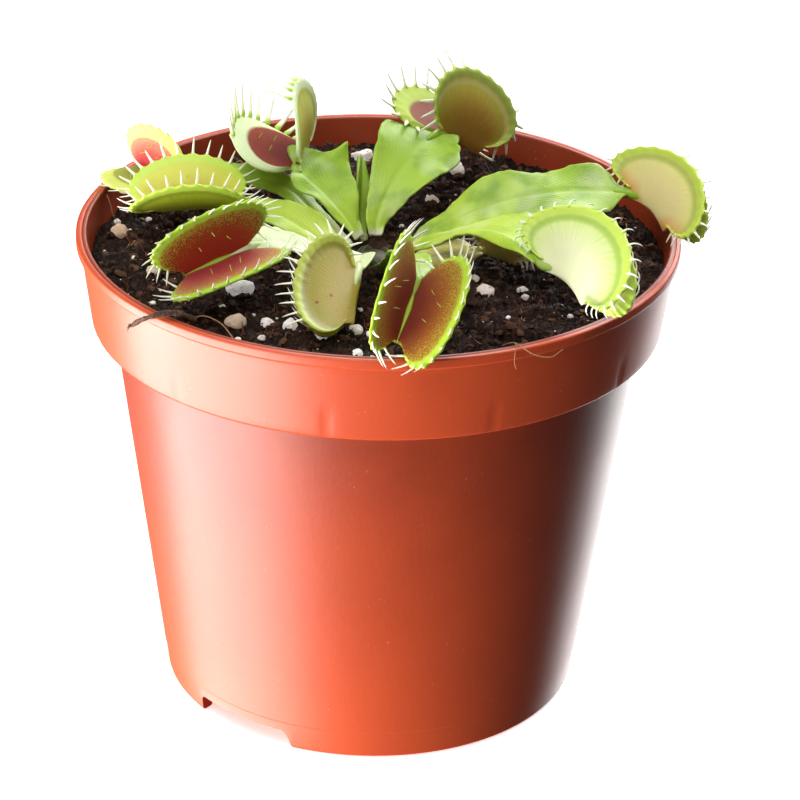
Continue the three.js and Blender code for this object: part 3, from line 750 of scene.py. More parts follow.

# %% [markdown]
# ## Leaf skin
#
# A flytrap's leaf is a flat stalk, as broad as a blade, with a midrib and fine veins that leave it at a
# sharp angle. It is thin and lets light through, which the shader's subsurface part shows, and its skin is
# waxy; pale patches on it are a painted sheen. The veins follow the blade, so their pattern is drawn in the
# piece's own UV map: across the blade and along it, in centimetres.

# %% Mix the blades' skin
def blade_skin(name, base, tip, shade, under, foot, holes=0.0):
    """base is the colour near the crown, tip near the trap, shade between veins, under on the lower face and
    foot right at the crown. holes is how strongly the blade is spotted with decay."""
    finish = Finish(name)
    reach, along, upper = (finish.attribute(key) for key in ("reach", "along", "inner"))
    uv = finish.node("UVMap", {"uv_map": "blade"})
    across, length = (finish.node("SeparateXYZ", {}, {0: uv}, output=axis) for axis in ("X", "Y"))
    wobble = finish.grain(0.5, 2) * 0.10
    lines = (length - abs(across) * 1.7 + wobble) * 62
    veins = finish.ease(lines.maths("SINE", lines), 0.3, 1.0) * finish.ease(reach, 0.04, 0.2)
    painted_sheen = finish.ease(finish.grain(0.13, 2), 0.5, 0.68)
    cloud = finish.grain(0.22, 3)
    skin = finish.grain(3.2, 3, 0.6)
    colour = finish.mix(finish.ease(along + cloud * 0.3, 0.1, 1.0), base, tip)
    colour = finish.mix(finish.ease(cloud, 0.42, 0.68) * 0.7, colour, shade)
    colour = finish.mix(veins * 0.06, colour, shade)
    # Pale patches over the blade are a painted sheen: the shine of the light from behind on the waxy skin.
    colour = finish.mix(painted_sheen * 0.35, colour, paint(216, 224, 176))
    colour = finish.mix(finish.ease(reach, 0.13, 0.0) * 0.35, colour, tip)
    colour = finish.mix(finish.ease(along, 0.14, 0.0), colour, foot)
    colour = finish.mix(1 - upper, colour, under)
    spots = finish.ease(finish.cells(0.32), 0.28, 0.2) * finish.ease(finish.grain(0.5), 0.47, 0.53)
    colour = finish.mix(spots * holes, colour, paint(44, 28, 18))
    return finish.surface(
        Base_Color=colour,
        Roughness=0.36 + skin * 0.14,
        Normal=finish.bump(veins * -0.1 + skin * 0.4 + cloud * 0.8, 0.14, 0.8),
        Subsurface_Weight=0.3,
        Subsurface_Radius=(0.9, 1.0, 0.25),
        Subsurface_Scale=0.001,
        Specular_IOR_Level=0.4,
        Coat_Weight=0.1,
        Coat_Roughness=0.25,
    )


FRESH = paint(146, 182, 46)
LIME = paint(180, 206, 72)
DEEP = paint(112, 148, 34)
PALE_UNDER = paint(158, 190, 92)
FOOT = paint(226, 220, 196)
fresh_blade = blade_skin("fresh_blade", LIME, FRESH, DEEP, PALE_UNDER, FOOT)
lime_blade = blade_skin(
    "lime_blade", paint(188, 208, 76), paint(168, 196, 56), paint(134, 172, 42), PALE_UNDER, FOOT
)
# Two stalks are near white: their own pale green with a painted reflection of the light from behind.
sheen_pale_blade = blade_skin(
    "sheen_pale_blade", paint(216, 220, 196), paint(206, 216, 166), paint(176, 198, 120), paint(190, 204, 140), FOOT
)
dry_blade = blade_skin(
    "dry_blade", paint(226, 216, 118), paint(232, 220, 140), paint(164, 138, 66), paint(190, 170, 96),
    paint(150, 110, 70), holes=1.0,
)

# %% [markdown]
# ## Trap skin
#
# Inside, a lobe is covered with glands that turn red in the sun. The red starts beside the midrib and
# breaks up into specks towards a clean lime band along the margin. Outside it is green with fine ribs that
# fan out to the teeth, and here and there a brown freckle. How red it is differs from trap to trap, so the
# colours are given for each, and the pattern is the same.

# %% Mix the traps' skin
def trap_skin(name, heart, field, rim, back, blush, edge=0.86, specks=0.5, second=None, freckles=0.0,
              dip_colour=None, ends=None, shine=0.36, rough=0.3, streaks=0.06):
    """heart, beside the midrib, field, further out, and rim are inside; back and blush, by its rim, outside.
    second is heart and field of the other lobe, dip_colour the colour painted in the dip below the rim, most
    often darker as painted shade, ends the colour by both ends, shine and rough how the skin reflects, and
    streaks how clearly its ribs show outside."""
    finish = Finish(name)
    reach, along, inner, lobe = (finish.attribute(key) for key in ("reach", "along", "inner", "lobe"))
    glands = finish.grain(4.0, 3, 0.7)
    cloud = finish.grain(0.3, 2)
    inside = finish.mix(finish.ease(reach + (cloud - 0.5) * 0.4, 0.15, 0.85), heart, field)
    if second:
        inside = finish.mix(lobe, inside, finish.mix(finish.ease(reach, 0.25, 0.85), second[0], second[1]))
    speck = finish.ease(glands + (reach - 0.62) * specks * 0.9, 0.56, 0.66) * specks
    inside = finish.mix(speck, inside, rim)
    band = finish.ease(reach + (glands - 0.5) * 0.05, edge - 0.05, edge + 0.02)
    midrib = finish.ease(reach, 0.075, 0.03)
    inside = finish.mix(band.maths("MAXIMUM", band, midrib), inside, rim)
    fan = finish.node("CombineXYZ", {}, {0: along * 46, 1: reach * 1.6, 2: lobe * 7})
    ribs = finish.grain(1.0, 2, 0.5, place=fan)
    outside = finish.mix(finish.ease(reach + (ribs - 0.5) * 0.5, 0.35, 0.95), back, blush)
    outside = finish.mix(finish.ease(ribs, 0.45, 0.7) * streaks, outside, rim)
    spots = finish.ease(finish.cells(0.55), 0.24, 0.10) * finish.ease(finish.grain(0.4), 0.5, 0.6)
    outside = finish.mix(spots * freckles, outside, paint(128, 62, 30))
    if ends:
        by_ends = finish.ease(abs(along) + cloud * 0.3, 0.6, 1.05) * 0.8
        outside = finish.mix(by_ends, outside, ends)
    # Below the rim the outside takes the dip's colour, most often darker than the skin: painted shade in the
    # dip.
    dip = finish.ease(reach, 0.76, 0.85) * finish.ease(reach, 0.93, 0.87)
    outside = finish.mix(dip * 0.7, outside, dip_colour or paint(126, 164, 44))
    outside = finish.mix(finish.ease(reach, 0.88, 0.93), outside, rim)
    colour = finish.mix(inner, outside, inside)
    pebble = glands * (0.5 - band * 0.3) * inner + (ribs * 0.2 + glands * 0.3) * (1 - inner)
    return finish.surface(
        Base_Color=colour,
        Roughness=rough + glands * 0.22,
        Normal=finish.bump(pebble, 0.14, 0.8),
        Subsurface_Weight=0.3,
        Subsurface_Radius=(1.0, 0.7, 0.25),
        Subsurface_Scale=0.0008,
        Specular_IOR_Level=shine,
        Coat_Weight=0.04,
        Coat_Roughness=0.3,
    )


RIM = paint(178, 214, 74)
TRAP_SKINS = {
    "leaf_left": trap_skin(
        "yellow_trap", paint(176, 150, 60), paint(206, 206, 78), paint(192, 216, 84), paint(150, 156, 30),
        paint(178, 192, 50), edge=0.9, specks=0.4, freckles=0.3, dip_colour=paint(140, 158, 40),
    ),
    "leaf_far_left": trap_skin(
        "rosy_trap", paint(130, 142, 50), paint(158, 170, 76), paint(206, 220, 110), paint(150, 170, 60),
        paint(196, 212, 100), edge=0.8, specks=0.2, second=(paint(200, 58, 58), paint(216, 120, 92)),
        shine=0.15, rough=0.7,
    ),
    "leaf_back_left": trap_skin(
        "mauve_trap", paint(104, 36, 30), paint(134, 58, 44), paint(204, 218, 172), paint(146, 130, 34),
        paint(184, 188, 70), edge=0.8, specks=0.1, dip_colour=paint(160, 168, 60), shine=0.1, rough=0.78,
    ),
    "leaf_back": trap_skin(
        "olive_trap", paint(126, 70, 60), paint(142, 86, 74), paint(176, 196, 90), paint(186, 138, 52),
        paint(186, 184, 68), edge=0.8, specks=0.1, dip_colour=paint(212, 206, 128), shine=0.2, rough=0.6,
    ),
    "leaf_right": trap_skin(
        "cream_trap", paint(226, 176, 112), paint(220, 206, 140), paint(184, 206, 76), paint(222, 206, 146),
        paint(206, 202, 122), edge=0.88, specks=0.2, dip_colour=paint(160, 178, 66), ends=paint(214, 130, 58),
    ),
    "leaf_front_right": trap_skin(
        "milky_trap", paint(240, 240, 200), paint(220, 232, 140), paint(196, 220, 92), paint(236, 238, 194),
        paint(206, 224, 128), edge=0.92, specks=0.15, dip_colour=paint(150, 186, 56),
    ),
    "leaf_front": trap_skin(
        "rust_trap", paint(120, 40, 20), paint(150, 86, 30), paint(172, 202, 58), paint(140, 180, 50),
        paint(168, 200, 60), edge=0.93, specks=0.5, second=(paint(112, 34, 20), paint(158, 92, 34)),
    ),
    "leaf_front_left": trap_skin(
        "tan_trap", paint(190, 90, 60), paint(190, 150, 80), paint(168, 178, 70), paint(156, 134, 40),
        paint(142, 134, 40), specks=0.3, freckles=1.0, dip_colour=paint(130, 122, 38), shine=0.45, rough=0.26,
        streaks=0.16,
    ),
    "leaf_near_left": trap_skin(
        "brick_trap", paint(150, 50, 54), paint(172, 92, 74), paint(166, 198, 62), paint(150, 190, 60),
        paint(170, 204, 74), edge=0.93, specks=0.55, second=(paint(158, 44, 26), paint(150, 60, 28)),
    ),
    "leaf_withered": trap_skin(
        "dried_trap", paint(170, 140, 84), paint(206, 192, 122), paint(214, 208, 150), paint(200, 188, 108),
        paint(212, 204, 130), specks=0.5, freckles=1.0, dip_colour=paint(180, 160, 100),
    ),
}

# %% [markdown]
# The teeth are stiff and waxy. They leave the margin in its own lime green and turn cream towards the tip.

# %% Mix the teeth
def tooth_skin(name, root, tip):
    """root is the colour at the margin, and tip that of most of the tooth."""
    finish = Finish(name)
    reach = finish.attribute("reach")
    fleck = finish.grain(4, 2)
    return finish.surface(
        Base_Color=finish.mix(finish.ease(reach + (fleck - 0.5) * 0.1, 0.1, 0.32), root, tip),
        Roughness=0.35 + fleck * 0.15,
        Normal=finish.bump(fleck, 0.03),
        Subsurface_Weight=0.35,
        Subsurface_Radius=(1, 1, 0.5),
        Subsurface_Scale=0.0006,
    )


cream_tooth = tooth_skin("cream_tooth", RIM, paint(246, 246, 222))
dry_tooth = tooth_skin("dry_tooth", paint(200, 190, 130), paint(214, 206, 190))
print("finishes:", len(bpy.data.materials))

# %% [markdown]
# ## The leaves' measures
#
# These are the named values that the CAD leaves were made from, with the back-left blade a little rounder
# at its end and the front-right one a little broader than their solids: the stalk's path from crown to
# trap, its half widths to the left and right, the way its upper face looks at both ends, how far its edges
# rise and wave, and the trap. In a trap, base and along give its midrib and mouth the way it opens. half is
# half a lobe's length and depth its depth. open is the angle of each lobe at the midrib, bend how far it
# curls back by its margin and arch how far the midrib bows. tooth is the teeth's length, lean and curl how
# they bend to the mouth.
#
# Blender's leaves also have measures that the solids leave out: teeth is how many stand on a lobe, bare the
# stretch of the margin that has none, flare how far it turns outwards, shoulder how far the blade reaches
# past the neck, and trim which lobe is smaller, by how much and from where on.

# %% Measures of the leaves, in millimetres and degrees
LEAVES = {
    "leaf_left": {
        "path": [(-4.9, -4.0, 69.9), (-8.9, -3.6, 72.3), (-13.4, -1.9, 74.6), (-18.4, -0.9, 75.9),
                 (-22.6, -0.3, 76.2)],
        "left": [0.8, 1.7, 2.6, 2.4, 0.7], "right": [0.8, 3.9, 3.4, 2.3, 0.7],
        "face": [(0.1, -0.3, 0.95), (0.1, -0.35, 0.93)], "fold": 0.12, "wave": 0.35, "waves": 2,
        "base": (-23.4, -0.2, 76.3), "along": (-1, -0.09, 0.03), "mouth": (0.02, 0.08, 1),
        "half": 8.3, "depth": 9.3, "open": (80, 77), "bend": 48, "arch": 14,
        "tooth": 2.5, "lean": 25, "curl": 25, "teeth": 20,
    },
    "leaf_far_left": {
        "path": [(-4.3, -1.4, 70.2), (-10.6, 6.2, 73.2), (-14.2, 9.9, 74.8), (-20.6, 12.0, 75.6),
                 (-26.7, 12.0, 75.4), (-31.0, 11.0, 75.1)],
        "left": [0.8, 1.6, 1.9, 2.3, 2.4, 0.7], "right": [0.8, 1.6, 1.9, 2.4, 2.5, 0.7],
        "face": [(0.1, -0.3, 0.95), (0.1, -0.35, 0.93)], "fold": 0.1, "wave": 0.3, "waves": 2,
        "base": (-31.9, 11.1, 75.2), "along": (-0.67, 0.74, -0.06), "mouth": (-0.26, -0.15, 0.95),
        "half": 6.5, "depth": 7.0, "open": (25, 82), "bend": 12, "arch": 0,
        "tooth": 2.6, "lean": 15, "curl": 15, "teeth": 14, "bare": (-1, -0.2),
    },
    "leaf_back_left": {
        "path": [(-2.9, 0.2, 71.0), (-4.8, 1.2, 73.6), (-8.2, 3.2, 76.8), (-11.1, 4.8, 78.8),
                 (-12.4, 6.0, 79.3)],
        "left": [0.8, 1.2, 2.0, 2.6, 1.2], "right": [0.8, 2.6, 5.9, 8.9, 6.4],
        "face": [(0.5, -0.6, 0.62), (0.25, -0.5, 0.83)], "fold": 0.12, "wave": 0.45, "waves": 2.5,
        "base": (-12.6, 6.4, 79.5), "along": (0.11, 0.99, -0.1), "mouth": (-0.37, 0.11, 0.92),
        "half": 9.4, "depth": 11.5, "open": (37, 62), "bend": 42, "arch": 0,
        "tooth": 5.6, "lean": 45, "curl": 10,
        "teeth": 17, "bare": (-1, -0.3), "flare": 0.4, "shoulder": 0.66,
    },
    "leaf_back": {
        "path": [(-0.5, 0.8, 71.2), (-0.4, 2.0, 73.4), (1.2, 4.8, 76.8), (4.0, 9.6, 80.0), (6.2, 13.2, 81.0),
                 (8.1, 15.9, 81.2)],
        "left": [0.8, 1.5, 2.9, 5.2, 6.3, 1.6], "right": [0.8, 1.6, 3.4, 5.9, 6.6, 5.2],
        "face": [(0.1, -0.75, 0.62), (-0.05, -0.5, 0.85)], "fold": 0.14, "wave": 0.5, "waves": 2,
        "base": (8.7, 16.9, 81.2), "along": (0.6, 0.7, -0.4), "mouth": (-0.05, 0.35, 0.93),
        "half": 9.5, "depth": 10.8, "open": (32, 66), "bend": 50, "arch": 24,
        "tooth": 3.6, "lean": 20, "curl": 10, "teeth": 17, "flare": 0.6, "shoulder": 0.2,
    },
    "leaf_right": {
        "path": [(4.0, -3.0, 70.3), (9.4, -2.2, 74.2), (17.0, -0.9, 77.6), (25.6, -0.2, 79.3),
                 (33.4, 0.9, 79.2), (36.6, 1.2, 79.0)],
        "left": [0.8, 2.6, 5.0, 4.6, 4.6, 0.9], "right": [0.8, 2.2, 4.4, 4.6, 4.2, 0.9],
        "face": [(-0.3, -0.35, 0.88), (0, -0.3, 0.95)], "fold": 0.1, "wave": 0.6, "waves": 3,
        "base": (37.5, 0.9, 78.9), "along": (0.61, -0.78, 0.14), "mouth": (0.47, 0.5, 0.73),
        "half": 9.8, "depth": 8.0, "open": (32, 32), "bend": 64, "arch": 67,
        "tooth": 2.4, "lean": 10, "curl": 20, "teeth": 20, "flare": 0.7, "trim": (-1, 0.13, -1),
    },
    "leaf_front_right": {
        "path": [(2.7, -5.4, 71.3), (8.4, -9.4, 75.4), (14.4, -14.6, 79.4), (19.6, -20.6, 80.8),
                 (23.0, -25.8, 79.6)],
        "left": [0.8, 3.6, 7.4, 7.8, 2.6], "right": [0.8, 1.6, 1.9, 2.2, 1.0],
        "face": [(-0.35, 0.1, 0.92), (0.1, -0.15, 0.95)], "fold": -0.08, "wave": 0.4, "waves": 2,
        "base": (23.7, -26.8, 79.5), "along": (0.61, -0.76, 0.21), "mouth": (0.46, 0.55, 0.69),
        "half": 11.0, "depth": 9.9, "open": (32, 32), "bend": 61, "arch": 68,
        "tooth": 2.2, "lean": 20, "curl": 110, "teeth": 23, "flare": 0.8, "trim": (-1, 0.14, -1),
    },
    "leaf_front": {
        "path": [(0.6, -7.9, 69.9), (2.4, -14.0, 74.0), (4.3, -22.0, 78.4), (5.3, -29.6, 80.0),
                 (5.5, -33.0, 80.0)],
        "left": [0.8, 1.7, 2.4, 2.2, 0.8], "right": [0.8, 1.7, 2.4, 2.2, 0.8],
        "face": [(0, 0.4, 0.9), (0.1, 0.1, 0.99)], "fold": 0.15, "wave": 0.25, "waves": 2,
        "base": (5.5, -33.8, 79.9), "along": (-0.24, -0.86, -0.45), "mouth": (0.34, -0.51, 0.79),
        "half": 9.2, "depth": 9.2, "open": (52, 52), "bend": 30, "arch": 10,
        "tooth": 3.2, "lean": 35, "curl": 20,
    },
    "leaf_front_left": {
        "path": [(-1.8, -6.8, 71.2), (-2.4, -11.4, 73.6), (-2.7, -16.2, 75.2), (-2.9, -20.8, 75.6)],
        "left": [0.8, 1.5, 2.0, 0.9], "right": [0.8, 1.5, 2.0, 0.9],
        "face": [(0, 0.3, 0.93), (0.1, 0.2, 0.97)], "fold": 0.3, "wave": 0.15, "waves": 2,
        "base": (-3.0, -21.8, 75.5), "along": (-0.16, -0.91, -0.39), "mouth": (-0.96, 0.05, 0.29),
        "half": 8.5, "depth": 8.5, "open": (26, 26), "bend": 44, "arch": 12,
        "tooth": 2.8, "lean": 5, "curl": 20,
        "teeth": 22, "bare": (0.42, 1), "flare": 0.7, "trim": (1, 0.24, -0.2),
    },
    "leaf_near_left": {
        "path": [(-4.0, -5.6, 71.1), (-7.4, -9.0, 72.8), (-11.8, -12.2, 75.0), (-15.8, -14.4, 76.8),
                 (-18.2, -16.4, 76.8)],
        "left": [0.8, 1.5, 2.2, 2.4, 0.9], "right": [0.8, 1.6, 2.4, 3.1, 1.0],
        "face": [(-0.1, -0.2, 0.97), (0, -0.35, 0.93)], "fold": 0.16, "wave": 0.3, "waves": 2,
        "base": (-18.9, -17.0, 76.7), "along": (-0.84, -0.5, -0.19), "mouth": (0.23, -0.66, 0.72),
        "half": 8.9, "depth": 8.8, "open": (47, 51), "bend": 28, "arch": 8,
        "tooth": 2.8, "lean": 30, "curl": 15, "teeth": 19,
    },
    "leaf_withered": {
        "path": [(3.6, -6.6, 69.9), (8.0, -6.6, 71.0), (12.0, -5.9, 71.6), (15.4, -5.4, 71.9)],
        "left": [0.8, 3.0, 3.6, 1.0], "right": [0.8, 2.2, 3.0, 1.0],
        "face": [(-0.1, -0.1, 0.98), (0, -0.2, 0.97)], "fold": 0.05, "wave": 0.3, "waves": 2, "dry": True,
        "base": (16.2, -5.6, 72.1), "along": (0.8, -0.5, -0.05), "mouth": (0.3, 0.35, 0.85),
        "half": 4.2, "depth": 3.4, "open": (60, 66), "bend": 40, "arch": 0,
        "tooth": 2.0, "lean": -10, "curl": 40,
    },
    "leaf_young": {
        "path": [(-2.4, 1.6, 69.9), (-2.9, 4.2, 73.0), (-2.8, 8.7, 76.4), (-2.9, 13.0, 78.6)],
        "left": [0.7, 0.9, 1.2, 0.6], "right": [0.7, 0.9, 1.2, 0.6],
        "face": [(0.7, -0.4, 0.5), (0.7, -0.4, 0.5)], "fold": 0.3, "wave": 0.1, "waves": 1,
    },
}
print("leaves:", len(LEAVES))

# %% [markdown]
# ## Blades
#
# A blade's middle line is a smooth curve through the points of its path. The section across it is a thin
# lens: an upper face, a rounded edge, a lower face with the midrib standing out. A grid goes once round
# that section at every step along the curve. A plane with a Solidify modifier would have square edges and
# no midrib.

# %% Follow a blade's path
def path_point(path, share):
    """A point on the centripetal curve through the path. Past the end it goes straight on."""
    points = [Vector(point) for point in path]
    if share > 1:
        end = path_point(path, 1)
        return end + (end - path_point(path, 0.98)) * ((share - 1) / 0.02)
    points = [points[0] * 2 - points[1], *points, points[-1] * 2 - points[-2]]
    place = min(share, 0.999999) * (len(path) - 1)
    k = int(place)
    weight = place - k
    one, two, three, four = points[k:k + 4]
    before, middle, after = (
        math.sqrt((b - a).length) or 1.0 for a, b in ((one, two), (two, three), (three, four))
    )
    slope_in = ((two - one) / before - (three - one) / (before + middle) + (three - two) / middle) * middle
    slope_out = ((three - two) / middle - (four - two) / (middle + after) + (four - three) / after) * middle
    return (
        two + slope_in * weight
        + (two * -3 + three * 3 - slope_in * 2 - slope_out) * weight ** 2
        + (two * 2 - three * 2 + slope_in + slope_out) * weight ** 3
    )


def width_at(widths, share):
    """A half width, on a smooth curve through the list."""
    place = min(max(share, 0.0), 0.999999) * (len(widths) - 1)
    k = int(place)
    f = place - k
    value = [widths[min(max(k + step, 0), len(widths) - 1)] for step in (-1, 0, 1, 2)]
    rise, fall = (value[2] - value[0]) / 2, (value[3] - value[1]) / 2
    return (
        (2 * f ** 3 - 3 * f ** 2 + 1) * value[1] + (f ** 3 - 2 * f ** 2 + f) * rise
        + (3 * f ** 2 - 2 * f ** 3) * value[2] + (f ** 3 - f ** 2) * fall
    )


# %% [markdown]
# Where a blade is still broad at the trap, its shoulders are rounded and reach a little past the neck, as
# on the real plant. The edge is not a clean line either: small noise makes it crinkle.

# %% Build a blade
BLADE_ROWS = 60
BLADE_FACE = 18  # cells across one face
EDGE_CELLS = 2
BLADE_THICKNESS = 0.6
PAST_END = 0.16
NEAR = 0.02  # the share of a blade over which its slope is measured


def blade_middle(leaf, share, v):
    """A point of the blade's middle surface. v goes from -1 at the left edge to 1 at the right."""
    side = leaf["left"] if v < 0 else leaf["right"]
    broad = max(0.0, side[-1] - 1.2) / 3
    dome = math.sin(math.pi * min(1.0, abs(v) * 1.08)) ** 1.1
    past = leaf.get("shoulder", PAST_END) * min(1.0, broad) * dome
    fade = max(0.0, (share - 0.72) / 0.28)
    stretched = share + past * fade * fade
    half = width_at(side, min(stretched, 1))
    if broad:
        half *= math.sqrt(max(0.0, 1 - (0.62 * fade) ** 3))
    centre = path_point(leaf["path"], stretched)
    behind = path_point(leaf["path"], max(0, stretched - 0.004))
    forward = (path_point(leaf["path"], stretched + 0.004) - behind).normalized()
    first_face, last_face = (Vector(face).normalized() for face in leaf["face"])
    face = first_face.lerp(last_face, min(stretched, 1))
    left = face.cross(forward).normalized()
    up = forward.cross(left)
    phase = 2 * math.pi * leaf["waves"] * stretched + (0 if v < 0 else 2)
    ripple = leaf["wave"] * v * v * math.sin(phase) * min(1, half / 2)
    crinkle = 0.22 * abs(v) ** 6 * min(1, half / 2) * noise.noise(centre * 0.9 + Vector((v * 3, 0, 0)))
    rise = leaf["fold"] * half * v * v + ripple + crinkle
    return centre - left * (v * (half + crinkle)) + up * rise, up, half


def add_blade(bm, layers, leaf, thickness):
    """The whole stalk as one closed skin."""
    face_columns = [2 * k / BLADE_FACE - 1 for k in range(BLADE_FACE + 1)]
    loop = [(v, 1.0, 0.0) for v in face_columns]
    loop += [(1.0, math.cos(math.pi * k / (EDGE_CELLS + 1)), math.sin(math.pi * k / (EDGE_CELLS + 1)))
             for k in range(1, EDGE_CELLS + 1)]
    loop += [(v, -1.0, 0.0) for v in reversed(face_columns)]
    loop += [(-1.0, -math.cos(math.pi * k / (EDGE_CELLS + 1)), math.sin(math.pi * k / (EDGE_CELLS + 1)))
             for k in range(1, EDGE_CELLS + 1)]
    loop.append(loop[0])
    cache = {}

    def middle(row, v):
        key = (row, round(v, 4))
        if key not in cache:
            share = row / (BLADE_ROWS - 1)
            point, up, half = blade_middle(leaf, share, v)
            low, high = max(v - NEAR, -1), min(v + NEAR, 1)
            across = blade_middle(leaf, share, high)[0] - blade_middle(leaf, share, low)[0]
            low, high = max(share - NEAR, 0), min(share + NEAR, 1)
            ahead = blade_middle(leaf, high, v)[0] - blade_middle(leaf, low, v)[0]
            normal = across.cross(ahead).normalized()
            if normal.dot(up) < 0:
                normal.negate()
            cache[key] = point, normal, half
        return cache[key]

    def rule(row, column):
        v, height, out = loop[column]
        share = row / (BLADE_ROWS - 1)
        point, normal, half = middle(row, v)
        from_rib = abs(v) * half
        thick = thickness * (1 - 0.45 * v * v)
        if row in (0, BLADE_ROWS - 1):
            thick = 0.0
        if height > 0:
            offset = thick / 2 - 0.16 * math.exp(-((from_rib / 0.4) ** 2)) * (thick > 0)
        else:
            offset = thick / 2 + 0.45 * math.exp(-((from_rib / 0.55) ** 2)) * (thick > 0)
        place = point + normal * (offset * height)
        if out:
            away = (point - middle(row, v * 0.94)[0]).normalized()
            place += away * (out * thick / 2)
        return place, {"reach": abs(v), "along": share, "inner": 0.5 + 0.5 * height, "tone": v * half}

    return rolled_grid(bm, layers, BLADE_ROWS, len(loop), rule)


def add_blade_map(bm, layers, length):
    """Writes the blade's UV map from the numbers at its points: across and along, in centimetres."""
    uv = bm.loops.layers.uv.new("blade")
    for face in bm.faces:
        for loop in face.loops:
            vert = loop.vert
            loop[uv].uv = (vert[layers["tone"]] / 10, vert[layers["along"]] * length / 10)


# %% [markdown]
# ## Traps
#
# A trap's two lobes and its midrib are one piece of leaf. One row of points goes from a margin down inside
# to the midrib, up inside to the other margin, round it, and back outside. The rows fan out from the midrib
# to the margin. The margin is a part of an ellipse, with a small point under every tooth.

# %% Shape a lobe
MIDRIB_SHARE = 0.58
LOBE_END = 1.0
TEETH = 17  # on each lobe, where a leaf has no number of its own
LOBE_ROWS = 125
LOBE_CELLS = 13
LOBE_THICKNESS = 0.62
MARGIN_CELLS = 3


def trap_frame(leaf):
    """The trap's own directions: along the midrib, out of the mouth, and across."""
    along = Vector(leaf["along"]).normalized()
    mouth = Vector(leaf["mouth"])
    mouth = (mouth - along * mouth.dot(along)).normalized()
    return along, mouth, along.cross(mouth)


def lobe_point(leaf, axes, sign, x, y):
    """A point of a lobe's middle surface, x along the midrib and y out from it, and the way inwards."""
    along, mouth, across = axes
    lean = math.radians(leaf["open"][0 if sign > 0 else 1])
    bend = math.radians(leaf["bend"]) / leaf["depth"]
    rise = (math.sin(lean) - math.sin(lean - bend * y)) / bend
    out = (math.cos(lean - bend * y) - math.cos(lean)) / bend
    arch = math.radians(max(leaf["arch"], 0.1)) / (2 * leaf["half"])
    bow = arch * (x + leaf["half"] * MIDRIB_SHARE)
    up = mouth * math.cos(bow) + along * math.sin(bow)
    foot = Vector(leaf["base"]) + along * (math.sin(bow) / arch) - mouth * ((1 - math.cos(bow)) / arch)
    inwards = up * math.sin(lean - bend * y) - across * (sign * math.cos(lean - bend * y))
    return foot + up * rise + across * (sign * out), inwards, up, foot


def margin_point(leaf, t):
    """A point of the margin laid flat. t goes from -1 at the stalk's end to 1 at the tip."""
    slope = math.sqrt(1 - MIDRIB_SHARE ** 2)
    centre = (slope * leaf["depth"] + LOBE_END) / (1 + slope)
    angle = t * (math.pi / 2 + math.acos(MIDRIB_SHARE))
    return leaf["half"] * math.sin(angle), centre + (leaf["depth"] - centre) * math.cos(angle)


def flare_at(leaf, reach):
    """How far the margin turns outwards. Below its rim a shut trap has a dip."""
    rise = min(1.0, max(0.0, (reach - 0.84) / 0.16))
    return leaf.get("flare", 0.25) * rise * rise * (3 - 2 * rise)


def trim_at(leaf, sign, t, reach):
    """One lobe of a trap is often a little smaller. It is drawn in from a place along the margin onwards."""
    smaller, amount, start = leaf.get("trim", (0, 0.0, 0.0))
    return 1 - amount * min(1.0, max(0.0, 1.6 * (t - start))) * reach if sign == smaller else 1.0


def tooth_places(leaf):
    """Where along the margin the teeth stand."""
    count = leaf.get("teeth", TEETH)
    low, high = leaf.get("bare", (2, 2))
    places = [1.84 * (k + 0.5) / count - 0.92 for k in range(count)]
    return [place for place in places if not low < place < high]


